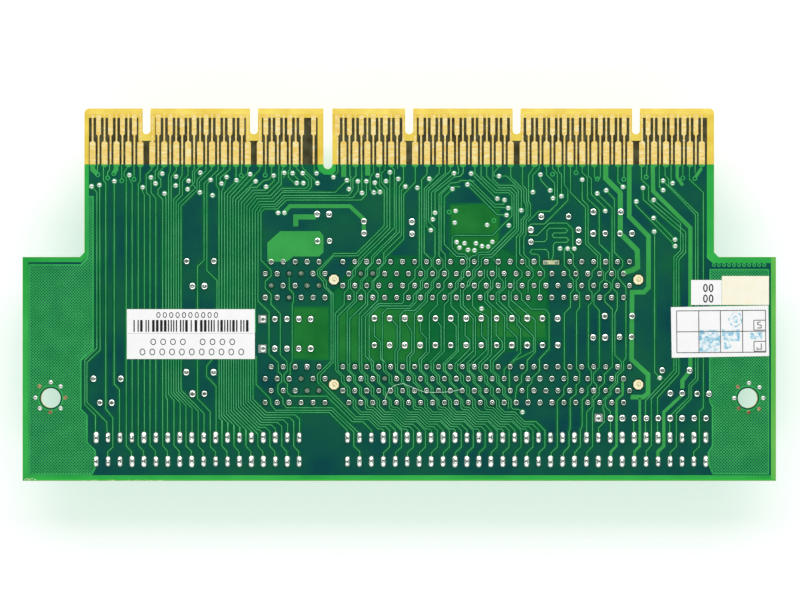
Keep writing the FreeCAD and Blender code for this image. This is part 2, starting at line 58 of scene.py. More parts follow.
# Heights of the thin layers above the face of the board
SKIN_TOP = 0.012
PLANE_TOP = 0.024
BAND_TOP = 0.03
STEM_TOP = 0.045
HATCH_TOP = 0.05
TRACE_TOP = 0.06
POUR_TOP = 0.068
PAD_TOP = 0.076
# Lift that keeps one layer clear of another that lies at the same height
CLEAR_LIFT = 0.003

# Edge tongue and board outline, as in the part's source
HALF_BOARD = 80.1
HALF_TONGUE = 66.95
REAR_EDGE = -39.6
SHOULDER = 8.0
MASK_EDGE = 27.7
FINGER_START = -65.2
FINGER_STEPS = 52
DEEP_NOTCH_STEPS = (18, 19, 20)
SHALLOW_NOTCH_STEPS = (4, 13, 26, 35, 45)
DEEP_NOTCH_X = -15.19
DEEP_NOTCH_HALF = 0.95
DEEP_NOTCH_FLOOR = 26.7
BEVEL_START = 38.4
MOUNT_HOLES = ((-74.1, -22.0), (74.1, -22.0))
MOUNT_HOLE_RADIUS = 2.1
PEG_PLACES = ((-13.89, 3.19), (50.83, 3.19), (-13.89, -19.14), (50.83, -19.14))
PEG_HOLE_RADIUS = 1.25


# Colours and materials

RAMP_LOW, RAMP_SPAN = 0.3, 0.4
CLOUD_DETAIL = 4
RELIEF_DEPTH = 0.1
MASK_ROUGH, MASK_SHINE = (0.3, 0.45), 0.15


def paint(red, green, blue):
    """A colour given as it looks on screen, 0 to 255, in the light values that shaders use."""
    shares = [value / 255 for value in (red, green, blue)]
    return tuple(((share + 0.055) / 1.055) ** 2.4 for share in shares) + (1.0,)


def make_material(
    name, tones, grain, rough=(0.35, 0.5), metal=0.0, relief=0.0, stretch=(1, 1, 1), shine=0.5,
):
    """A surface that drifts between its tones, with grain in its gloss and relief."""
    material = bpy.data.materials.new(name)
    material.use_nodes = True
    nodes, links = material.node_tree.nodes, material.node_tree.links
    shader = nodes["Principled BSDF"]
    shader.inputs["Metallic"].default_value = metal
    shader.inputs["Specular IOR Level"].default_value = shine

    where = nodes.new("ShaderNodeTexCoord")
    turn = nodes.new("ShaderNodeMapping")
    turn.inputs["Scale"].default_value = stretch
    links.new(where.outputs["Object"], turn.inputs["Vector"])
    cloud = nodes.new("ShaderNodeTexNoise")
    cloud.inputs["Scale"].default_value = grain / MM
    cloud.inputs["Detail"].default_value = CLOUD_DETAIL
    links.new(turn.outputs["Vector"], cloud.inputs["Vector"])

    colours = [paint(*tone) for tone in tones]
    ramp = nodes.new("ShaderNodeValToRGB")
    steps = ramp.color_ramp.elements
    steps[0].position, steps[1].position = RAMP_LOW, RAMP_LOW + RAMP_SPAN
    steps[0].color, steps[1].color = colours[0], colours[-1]
    for place, colour in enumerate(colours[1:-1], 1):
        steps.new(RAMP_LOW + RAMP_SPAN * place / (len(colours) - 1)).color = colour
    links.new(cloud.outputs["Fac"], ramp.inputs["Fac"])
    links.new(ramp.outputs["Color"], shader.inputs["Base Color"])

    gloss = nodes.new("ShaderNodeMapRange")
    gloss.inputs["To Min"].default_value, gloss.inputs["To Max"].default_value = rough
    links.new(cloud.outputs["Fac"], gloss.inputs["Value"])
    links.new(gloss.outputs["Result"], shader.inputs["Roughness"])
    if relief:
        bump = nodes.new("ShaderNodeBump")
        bump.inputs["Strength"].default_value = relief
        bump.inputs["Distance"].default_value = RELIEF_DEPTH * MM
        links.new(cloud.outputs["Fac"], bump.inputs["Height"])
        links.new(bump.outputs["Normal"], shader.inputs["Normal"])
    return material


def make_mask(name, tones, grain):
    """Thin glossy mask over laminate or copper, with little glare from straight above."""
    return make_material(name, tones, grain, MASK_ROUGH, shine=MASK_SHINE)


BARE_LAMINATE = make_material("bare_laminate", ((229, 195, 66), (243, 219, 97)), 0.25, (0.4, 0.6), shine=0.3)
MASK_BORDER = make_mask("mask_over_laminate", ((38, 160, 66), (58, 184, 82)), 0.08)
MASK_PLANE = make_mask("mask_over_plane", ((4, 70, 72), (8, 84, 68), (14, 92, 62)), 0.09)
MASK_MIDDLE = make_mask("mask_over_thin_plane", ((6, 98, 52), (16, 116, 52)), 0.12)
MASK_PATCH = make_mask("mask_over_gap", ((20, 108, 44), (34, 126, 52)), 0.15)
MASK_HALO = make_mask("mask_by_trace", ((0, 84, 50), (4, 100, 52)), 0.15)
MASK_TRACE = make_mask("mask_over_trace", ((62, 174, 104), (102, 200, 134)), 0.25)
MASK_HATCH = make_mask("mask_over_hatch", ((46, 160, 80), (62, 178, 92)), 0.25)
MASK_RIM = make_mask("mask_at_edge", ((50, 182, 60), (66, 192, 70)), 0.1)
MASK_SIDE = make_mask("mask_at_side", ((84, 182, 76), (108, 194, 84)), 0.1)
# Dark mask for the rings round pegs and pins: painted shade in the gaps round the pegs, and copper clearance
# darkened as painted shade round the joints
MASK_CLEARANCE_AND_SHADE = make_mask("mask_clearance_and_painted_shade", ((4, 56, 44), (10, 76, 46)), 0.2)
MASK_POUR = make_mask("mask_over_pour", ((52, 153, 72), (62, 169, 82)), 0.12)
BETWEEN_FINGERS = make_material("plane_in_laminate", ((52, 46, 22), (84, 84, 56)), 0.6, shine=0.2)
GOLD_TONES = ((246, 203, 95), (250, 221, 128), (255, 242, 188))
GOLD = make_material("plated_gold", GOLD_TONES, 1.6, (0.35, 0.5), 0.1, 0.15, (0.5, 1.6, 1))
SOLDER = make_material("bright_solder", ((214, 226, 216), (246, 253, 247)), 0.9, (0.18, 0.32), 1.0, 0.15)
VIA_SOLDER = make_material("filled_solder", ((214, 226, 218), (246, 250, 246)), 0.9, (0.2, 0.35), 0.7, 0.15)
DULL_SOLDER = make_material("dull_solder", ((110, 140, 120), (170, 186, 172)), 0.9, (0.4, 0.5), 0.7, 0.1)
TARNISHED = make_material("tarnished_pad", ((168, 172, 116), (236, 242, 196)), 1.4, (0.4, 0.5), 0.3)
PEG_IVORY = make_material("ivory_plastic", ((253, 243, 194), (255, 250, 214)), 0.4, (0.4, 0.55))
CHIPPED = make_material("chipped_laminate", ((206, 240, 180), (238, 252, 220)), 0.8, (0.5, 0.7))
GATE_MARK = make_material("gate_mark", ((196, 180, 136), (220, 204, 162)), 0.8, (0.5, 0.6))
LABEL_WHITE = make_material("white_paper", ((249, 250, 249), (253, 254, 253)), 0.5, (0.5, 0.65), 0, 0.05)
LABEL_CREAM = make_material("cream_paper", ((252, 246, 220), (254, 251, 232)), 0.5, (0.5, 0.65), 0, 0.05)
PRINT_BLACK = make_material("black_print", ((16, 16, 18), (36, 34, 36)), 1.2, (0.5, 0.6), shine=0.2)
PRINT_GREY = make_material("grey_print", ((96, 98, 100), (130, 132, 134)), 1.2, (0.5, 0.6))
BARE_COPPER = make_material("bare_copper", ((120, 84, 50), (206, 176, 130)), 0.9, (0.3, 0.5), 0.2)
PRINT_BROWN = make_material("brown_band", ((92, 54, 28), (120, 74, 40)), 1.2, (0.3, 0.45))
PRINT_RED = make_material("red_band", ((168, 40, 34), (196, 60, 48)), 1.2, (0.3, 0.45))
PALE_FIBRE = make_material("pale_fibre", ((170, 224, 190), (210, 244, 224)), 0.8, (0.5, 0.7))
PRINT_PALE = make_material("pale_print", ((190, 192, 194), (214, 215, 216)), 1.2, (0.5, 0.6))
STAMP_TONES = ((70, 166, 208), (160, 212, 232), (238, 247, 250), (252, 253, 252))
PRINT_BLUE = make_material("blue_stamp", STAMP_TONES, 1.3, (0.5, 0.6))
BLACK_PLASTIC = make_material("black_plastic", ((26, 26, 28), (44, 44, 47)), 0.5, (0.35, 0.55), 0, 0.1)
CONTACT = make_material("contact_metal", ((206, 172, 96), (236, 208, 140)), 0.8, (0.2, 0.35), 0.9)
RESIN = make_material("dark_resin", ((28, 28, 31), (50, 50, 54)), 0.6, (0.3, 0.5), 0, 0.15)
LACQUER = make_material("resistor_lacquer", ((200, 172, 128), (222, 196, 152)), 0.6, (0.25, 0.4))
SLEEVE = make_material("can_sleeve", ((24, 30, 66), (38, 46, 92)), 0.3, (0.2, 0.35))
ALUMINIUM = make_material("can_top", ((170, 172, 174), (206, 208, 210)), 1.0, (0.25, 0.4), 0.9)
CERAMIC = make_material("ceramic_dip", ((196, 142, 50), (222, 172, 76)), 0.4, (0.25, 0.45), 0, 0.1)
TINNED = make_material("tinned_lead", ((180, 182, 182), (214, 216, 216)), 0.8, (0.25, 0.4), 0.9)


# Shapes

class Shape:
    """Points and faces in millimetres, gathered before they become one piece."""

    def __init__(self):
        self.points = []
        self.faces = []

    def add(self, points, faces):
        start = len(self.points)
        self.points += points
        self.faces += [[start + corner for corner in face] for face in faces]


def make_piece(name, shape, material, smooth=False, replaces=()):
    """Turns a shape into a piece that rides on the part."""
    mesh = bpy.data.meshes.new(name)
    mesh.from_pydata([Vector(point) * MM for point in shape.points], [], shape.faces)
    mesh.materials.append(material)
    if smooth:
        mesh.shade_smooth()
        mesh.set_sharp_from_angle(angle=math.radians(SHARP_EDGE))
    piece = bpy.data.objects.new(name, mesh)
    bpy.context.scene.collection.objects.link(piece)
    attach(piece, "root")
    if replaces:
        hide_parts(*replaces)
    return piece


def sideways(route):
    """For each point of a route, the mitred step to its left for a strip of half width one."""
    steps = []
    last = len(route) - 1
    for index in range(len(route)):
        normals = []
        for start in (index - 1, index):
            if 0 <= start < last:
                along = Vector(route[start + 1]) - Vector(route[start])
                normals.append(Vector((-along.y, along.x)).normalized())
        middle = sum(normals, Vector((0, 0))).normalized()
        steps.append(middle / max(middle.dot(normals[0]), SHARPEST_MITRE))
    return steps


def ring_faces(rings, sides):
    """Faces between rings of points that are stacked on each other."""
    faces = []
    for start in range(0, (rings - 1) * sides, sides):
        for step in range(sides):
            one, two = start + step, start + (step + 1) % sides
            faces.append([one, two, two + sides, one + sides])
    return faces


def turned_over(faces):
    """The same faces seen from their other side, each with the same first corner."""
    return [[face[0], *face[:0:-1]] for face in faces]


def add_ribbon(shape, route, width, low, high, slope=0.04):
    """A flat strip along a route, with sloped sides and mitred bends."""
    points = []
    for (x, y), left in zip(route, sideways(route)):
        foot, crest = left * width / 2, left * (width / 2 - slope)
        points += [
            (x + foot.x, y + foot.y, low), (x + crest.x, y + crest.y, high),
            (x - crest.x, y - crest.y, high), (x - foot.x, y - foot.y, low),
        ]
    faces = []
    for ring in range(0, 4 * (len(route) - 1), 4):
        faces += [[ring + side + 4, ring + side, ring + side + 1, ring + side + 5] for side in range(3)]
    faces += [[0, 3, 2, 1], [len(points) - 4, len(points) - 3, len(points) - 2, len(points) - 1]]
    shape.add(points, [face[::-1] for face in faces] if high < low else faces)


def circle(x, y, radius, sides=24):
    turns = [2 * math.pi * step / sides for step in range(sides)]
    return [(x + radius * math.cos(turn), y + radius * math.sin(turn)) for turn in turns]


def add_plate(shape, outline, low, high, holes=()):
    """A flat plate with a given outline and holes."""
    low, high = sorted((low, high))
    loops = [outline, *holes]
    flat = [point for loop in loops for point in loop]
    tops = tessellate_polygon([[Vector((x, y, 0)) for x, y in loop] for loop in loops])
    points = [(x, y, high) for x, y in flat] + [(x, y, low) for x, y in flat]
    total = len(flat)
    faces = []
    for first, second, third in tops:
        a, b, c = (Vector(flat[corner]) for corner in (first, second, third))
        upright = (b - a).cross(c - a) > 0
        faces.append([first, second, third] if upright else [first, third, second])
    faces += [[corner + total for corner in reversed(face)] for face in faces]
    start = 0
    for loop in loops:
        for step in range(len(loop)):
            one, two = start + step, start + (step + 1) % len(loop)
            faces.append([one, one + total, two + total, two])
        start += len(loop)
    shape.add(points, faces)


def rectangle(left, low, right, high):
    return [(left, low), (right, low), (right, high), (left, high)]


def add_box(shape, left, low, right, high, floor, top):
    add_plate(shape, rectangle(left, low, right, high), floor, top)


def add_ring(shape, x, y, outer, inner, low, high, sides=20):
    add_plate(shape, circle(x, y, outer, sides), low, high, [circle(x, y, inner, sides)])


def add_lathe(shape, x, y, base, profile, sides=20, length=0.0, lean=(0.0, 0.0)):
    """A turned form: radius and height pairs from the foot up, closed at the top.

    A length draws its foot out, and a lean moves its top sideways.
    """
    points = []
    for radius, height in profile:
        half = length / 2 * (radius - profile[-1][0]) / (profile[0][0] - profile[-1][0])
        share = height / profile[-1][1]
        for dx, dy in circle(lean[0] * share, lean[1] * share, radius, sides):
            points.append((x + dx, y + dy + math.copysign(half, dy - lean[1] * share), base + height))
    faces = ring_faces(len(profile), sides)
    faces.append([(len(profile) - 1) * sides + step for step in range(sides)])
    shape.add(points, [face[::-1] for face in faces] if profile[-1][1] < 0 else faces)


def level(layer, face=1):
    """Height of a layer above the upper face of the board, or below its lower face."""
    return BOARD_TOP + layer if face > 0 else BOARD_BOTTOM - layer


ON_PLANE = level(PLANE_TOP)


def finger_x(step):
    return FINGER_START + PITCH * step


def any_lean(amount):
    """A sideways step of any direction, up to the amount."""
    turn, reach = random.uniform(0, 2 * math.pi), amount * math.sqrt(random.random())
    return reach * math.cos(turn), reach * math.sin(turn)


def tips(node):
    """Places of the joints in a CAD node, from the peaks of its pyramids."""
    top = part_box(node)[1].z
    peaks = {
        (round(v.co.x / MM, 2), round(v.co.y / MM, 2))
        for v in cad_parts[node].data.vertices if v.co.z > top - PEAK_DEPTH * MM
    }
    return sorted(peaks)


def loose_parts(node):
    """Lowest and highest corner of every loose part of a CAD node, in millimetres."""
    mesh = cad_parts[node].data
    spots = [tuple(round(value / MM, 3) for value in vertex.co) for vertex in mesh.vertices]
    part_of = {spot: spot for spot in spots}

    def head(spot):
        while part_of[spot] != spot:
            spot = part_of[spot]
        return spot

    for polygon in mesh.polygons:
        first, *others = [spots[corner] for corner in polygon.vertices]
        for other in others:
            part_of[head(other)] = head(first)
    groups = {}
    for spot in part_of:
        groups.setdefault(head(spot), []).append(spot)
    return sorted((tuple(map(min, zip(*group))), tuple(map(max, zip(*group)))) for group in groups.values())


# Solder mask, inner planes and the bare tongue

def half_round(x, floor, half, steps=8):
    """Points round the closed end of a notch, from its left wall to its right wall."""
    turns = [math.pi * (1 + step / steps) for step in range(steps + 1)]
    return [(x + half * math.cos(turn), floor + half + half * math.sin(turn)) for turn in turns]


MASK_INSET, CORNER = 0.03, 1
MOUNT_HOLE_MARGIN, PEG_HOLE_MARGIN = 0.01, -0.06
side, tongue, shoulder = HALF_BOARD - MASK_INSET, HALF_TONGUE - MASK_INSET, SHOULDER - MASK_INSET
notch_half = DEEP_NOTCH_HALF + MASK_INSET
notch_end = half_round(DEEP_NOTCH_X, DEEP_NOTCH_FLOOR - MASK_INSET, notch_half)
MASK_OUTLINE = [
    (-tongue, MASK_EDGE), (-tongue, SHOULDER + CORNER), (-tongue - CORNER, shoulder), (-side, shoulder),
    (-side, REAR_EDGE + MASK_INSET), (side, REAR_EDGE + MASK_INSET), (side, shoulder),
    (tongue + CORNER, shoulder), (tongue, SHOULDER + CORNER), (tongue, MASK_EDGE),
    (DEEP_NOTCH_X + notch_half, MASK_EDGE), *notch_end[::-1], (DEEP_NOTCH_X - notch_half, MASK_EDGE),
]
HOLES = [circle(x, y, MOUNT_HOLE_RADIUS + MOUNT_HOLE_MARGIN, sides=48) for x, y in MOUNT_HOLES]
HOLES += [circle(x, y, PEG_HOLE_RADIUS + PEG_HOLE_MARGIN, sides=32) for x, y in PEG_PLACES]
PLANE_OUTLINE = [
    (-66.0, MASK_EDGE), (-66.0, 8.4), (-67.6, 6.9), (-78.9, 6.9), (-78.9, -38.4), (79.0, -38.4), (79.0, 6.7),
    (66.6, 6.7), (65.4, 7.8), (65.4, MASK_EDGE), (-12.9, MASK_EDGE), (-13.3, 26.3), (-14.3, 25.5),
    (-16.0, 25.5), (-17.1, 26.3), (-17.5, MASK_EDGE),
]
# Dark plane seen through the bare tongue: blocks between the notches, above two long rows
BLOCK_EDGES = (
    (-66.0, -55.45), (-51.9, -32.6), (-29.2, -17.35), (-13.05, 1.0), (3.75, 23.55), (26.2, 49.2),
    (51.55, 65.45),
)
ROW_EDGES = ((-66.0, -17.35), (-13.05, 65.45))
BLOCK_FOOT, BLOCK_TOP = 32.7, 37.6
# Plating stems of the lands, out to the bevel and in to the mask
STEM_WIDTH = 0.36
INNER_LAND_TOP = 32.55
OUTER_LAND_FOOT = 33.85
NO_OUTER_LAND = (*SHALLOW_NOTCH_STEPS, DEEP_NOTCH_STEPS[1], FINGER_STEPS - 1)
LAYERS = (0, SKIN_TOP, PLANE_TOP, STEM_TOP)
for prefix, face in (("", 1), ("under_", -1)):
    base, skin_top, plane_top, stem_top = (level(layer, face) for layer in LAYERS)
    skin, plane, dark, stems = Shape(), Shape(), Shape(), Shape()
    add_plate(skin, MASK_OUTLINE, base, skin_top, HOLES)
    add_plate(plane, PLANE_OUTLINE, skin_top, plane_top, HOLES)
    for left, right in BLOCK_EDGES:
        add_box(dark, left, BLOCK_FOOT, right, BLOCK_TOP, base, skin_top)
    for left, right in ROW_EDGES:
        add_box(dark, left, MASK_EDGE, right, BLOCK_FOOT, base, skin_top)
    for step in range(FINGER_STEPS):
        if step not in DEEP_NOTCH_STEPS:
            x = finger_x(step)
            add_ribbon(stems, [(x, INNER_LAND_TOP), (x, BEVEL_START)], STEM_WIDTH, skin_top, stem_top)
        if step not in NO_OUTER_LAND:
            x = finger_x(step + 0.5)
            add_ribbon(stems, [(x, MASK_EDGE), (x, OUTER_LAND_FOOT)], STEM_WIDTH, skin_top, stem_top)
    make_piece(prefix + "mask_skin", skin, MASK_BORDER)
    make_piece(prefix + "mask_over_planes", plane, MASK_PLANE)
    make_piece(prefix + "tongue_plane", dark, BETWEEN_FINGERS)
    make_piece(prefix + "land_stems", stems, GOLD)


# Traces, region by region: each run of a route has its place across, then the heights of its bends

def bends(route):
    """Bends of a route as pairs of across and up."""
    return [(x, y) for x, *heights in route for y in heights]


FINGER_ROUTES_LEFT = (
    ((-65.4, 23.0), (-64.3, 21.8, -11.4), (-66.85, -13.9, -23.4), (-64.6, -25.7, -29.4)),
    ((-63.7, 23.2), (-63.6, -11.8), (-66.4, -14.4, -22.9), (-62.2, -27.1), (-62.1, -29.4)),
    ((-62.9, 27.2, 24.3), (-62.4, 23.7, -24.3), (-60.9, -26.2, -32.4), (-62.0, -33.5, -34.4)),
    ((-60.6, 24.1, -19.0), (-59.5, -20.2, -29.4)), ((-61.6, 27.7, 26.5), (-62.0, 26.0, 25.1)),
    ((-59.0, 27.7, 24.6),), ((-56.4, 27.7, 24.8),), ((-64.1, 27.7), (-64.2, 25.9)),
    ((-57.7, 27.2), (-58.5, 26.0, 25.3), (-58.05, 24.7, -32.2), (-56.95, -33.4, -34.4)),
    ((-57.4, 25.4, 24.6), (-56.8, 23.6, -29.4)),
    ((-55.1, 27.2, 24.0), (-55.5, 23.5, -32.0), (-54.4, -33.3, -34.4)),
    ((-54.5, 22.8), (-54.6, 22.0), (-54.2, 21.2, -29.4)),
    ((-52.6, 27.2, 26.7), (-53.8, 25.5, 21.7), (-53.0, 20.9, -32.0), (-51.85, -33.3, -34.4)),
    ((-52.8, 24.9), (-52.75, 21.6), (-51.75, 20.5, -29.4)), ((-52.8, 24.9), (-51.8, 23.7)),
    ((-51.4, 27.7, 26.7), (-51.9, 26.2, 23.7)),
    ((-50.0, 27.2), (-51.3, 25.8), (-51.2, 25.0), (-50.7, 24.5, 23.0), (-51.3, 22.3, 21.3),
     (-50.3, 20.2, -32.1), (-49.3, -33.3, -34.4)),
    ((-49.9, 21.5), (-49.6, 20.3, -21.8), (-49.3, -22.3, -29.4)),
    ((-48.7, 27.7, 26.3), (-49.05, 25.2, -21.2), (-47.9, -22.5, -32.1), (-46.8, -33.3, -34.4)),
    ((-47.4, 27.2, 26.4), (-48.5, 25.0, -21.0), (-46.6, -23.0, -29.4)),
    ((-46.1, 27.7), (-46.2, 25.4), (-46.7, 24.4, 21.5), (-47.95, 20.3, -20.9), (-45.35, -23.6, -32.2),
     (-44.2, -33.3, -34.4)),
    ((-44.9, 27.2, 25.4), (-46.1, 24.2, 21.2), (-47.45, 19.8, -20.7), (-44.05, -24.2, -29.4)),
    ((-43.6, 27.7, 26.6), (-43.95, 26.2, 23.4), (-43.3, 22.7), (-46.95, 19.2, -20.5),
     (-42.75, -24.8, -32.2), (-41.7, -33.3, -34.4)),
    ((-41.1, 27.7, 26.3), (-43.0, 24.4, 22.2), (-46.4, 18.8, -20.3), (-41.5, -25.3, -29.4)),
    ((-42.4, 27.2), (-43.5, 26.0, 23.9), (-45.0, 22.4)),
    ((-42.4, 21.7), (-42.5, 24.0), (-39.9, 26.6, 27.2)),
    ((-38.5, 27.7, 26.5), (-41.5, 23.6, 7.3), (-42.9, 6.0, -22.1), (-40.2, -24.9, -32.3),
     (-39.1, -33.4, -34.4)),
    ((-40.1, 24.4), (-40.9, 23.4, 5.1), (-38.75, 3.0, -12.5), (-40.95, -15.2, -17.4),
     (-38.95, -19.5, -29.4)), ((-37.3, 27.2, 26.6), (-38.9, 25.2, 23.2), (-38.3, 22.4)),
    ((-36.0, 27.7, 26.6), (-38.2, 24.8), (-37.8, 23.6)), ((-34.7, 27.2, 24.2),),
    ((-33.5, 27.7), (-33.6, 25.7)), ((-28.4, 27.7), (-28.5, 25.8)),
)

# Rows of the long slot's pins: where a line ends at the front row, or passes it and turns to the rear row
FRONT_ROW_END, REAR_ROW_END = -29.4, -34.4

# Upper ends of the lines of the wide bundle, from left to right
BUNDLE_FIRST, BUNDLE_STEP = -38.33, 0.593
BUNDLE_BEND, BUNDLE_SLANT = 22.3, 0.6
UNDER_LABEL = -8.0
BUNDLE_TOPS = (
    ((-38.3, 22.4),), ((-37.3, 22.9), (-36.7, 25.0)), ((-34.6, 24.2),), ((-32.3, 25.8), (-32.1, 27.2)),
    ((-31.7, 25.6),), ((-29.7, 26.5), (-29.6, 27.2)), ((-30.6, 24.1),),
    ((-31.5, 22.8), (-30.3, 22.8), (-28.9, 24.2), (-27.6, 24.5), (-27.2, 25.2), (-27.1, 27.2)),
    ((-31.1, 22.2), (-28.5, 22.2), (-26.6, 24.2), (-26.8, 25.3)),
    ((-30.8, 21.6), (-28.0, 21.6), (-25.6, 24.0, 27.7)),
    ((-30.5, 21.0), (-27.4, 21.0), (-25.1, 23.4, 26.0), (-24.6, 27.2)),
    ((-30.2, 20.4), (-27.1, 20.4), (-25.0, 22.6), (-19.9, 22.6), (-19.3, 23.1, 24.3), (-21.7, 26.6),
     (-21.9, 27.2)), ((-29.8, 19.8), (-26.7, 19.8), (-24.9, 21.75), (-13.6, 21.75), (-11.3, 24.1)),
    ((-29.6, 19.2), (-26.4, 19.2), (-24.5, 21.1), (-10.7, 21.1), (-9.85, 22.2, 24.6), (-9.2, 25.3, 27.2)),
    ((-29.2, 18.7), (-26.2, 18.7), (-24.3, 20.6), (-9.9, 20.6), (-8.7, 22.2), (-8.8, 24.1)),
)
LAST_BUNDLE_BEND = -1.4
LAST_BUNDLE_FOOT = ((-27.7, -3.7), (-27.7, -12.7), (-25.7, -14.5))
BUNDLE_ROUTES = []
for number, top in enumerate(BUNDLE_TOPS):
    x = BUNDLE_FIRST + BUNDLE_STEP * number
    bend = BUNDLE_BEND - BUNDLE_SLANT * BUNDLE_STEP * number
    last = number == len(BUNDLE_TOPS) - 1
    foot = [(x, LAST_BUNDLE_BEND), *LAST_BUNDLE_FOOT] if last else [(x, UNDER_LABEL)]
    BUNDLE_ROUTES.append([*bends(top)[::-1], (x, bend), *foot])

# Lower ends of the same bundle: bends below the bar label, a level run, and the drop to the long slot
LOWER_FIRST, LOWER_STEP, LOWER_RUNS = -38.3, 0.515, 15
LOWER_BEND, LOWER_SLANT = -26.2, 0.55
LEVEL_TOP, LEVEL_STEP = -25.05, 0.53
FIRST_COLUMN, FIRST_COLUMN_NUMBER = -64.57, 11
TO_FRONT_ROW, TO_REAR_ROW = 0.2, -1.05
LONGEST_DROP = 0.9
PASS_FOOT, TURN_FOOT = -32.2, -33.4
LAST_LOWER_END = ((-14.9, -25.05), (-11.1, -28.8), (-11.0, FRONT_ROW_END))
for number in range(LOWER_RUNS):
    x = LOWER_FIRST + LOWER_STEP * number
    bend = LOWER_BEND + LOWER_SLANT * LOWER_STEP * number
    column = FIRST_COLUMN + PITCH * (FIRST_COLUMN_NUMBER + number // 2)
    target = column + (TO_FRONT_ROW if number % 2 else TO_REAR_ROW)
    level_run = max(LEVEL_TOP - LEVEL_STEP * (LOWER_RUNS - 1 - number), bend - (target - x))
    route = [(x, UNDER_LABEL), (x, bend), (x + bend - level_run, level_run)]
    if number == LOWER_RUNS - 1:
        route += LAST_LOWER_END
    else:
        drop = min(LONGEST_DROP, target - route[-1][0])
        route += [(target - drop, level_run), (target, level_run - drop)]
        if number % 2:
            route.append((target, FRONT_ROW_END))
        else:
            route += [(target, PASS_FOOT), (column, TURN_FOOT), (column, REAR_ROW_END)]
    BUNDLE_ROUTES.append(route)

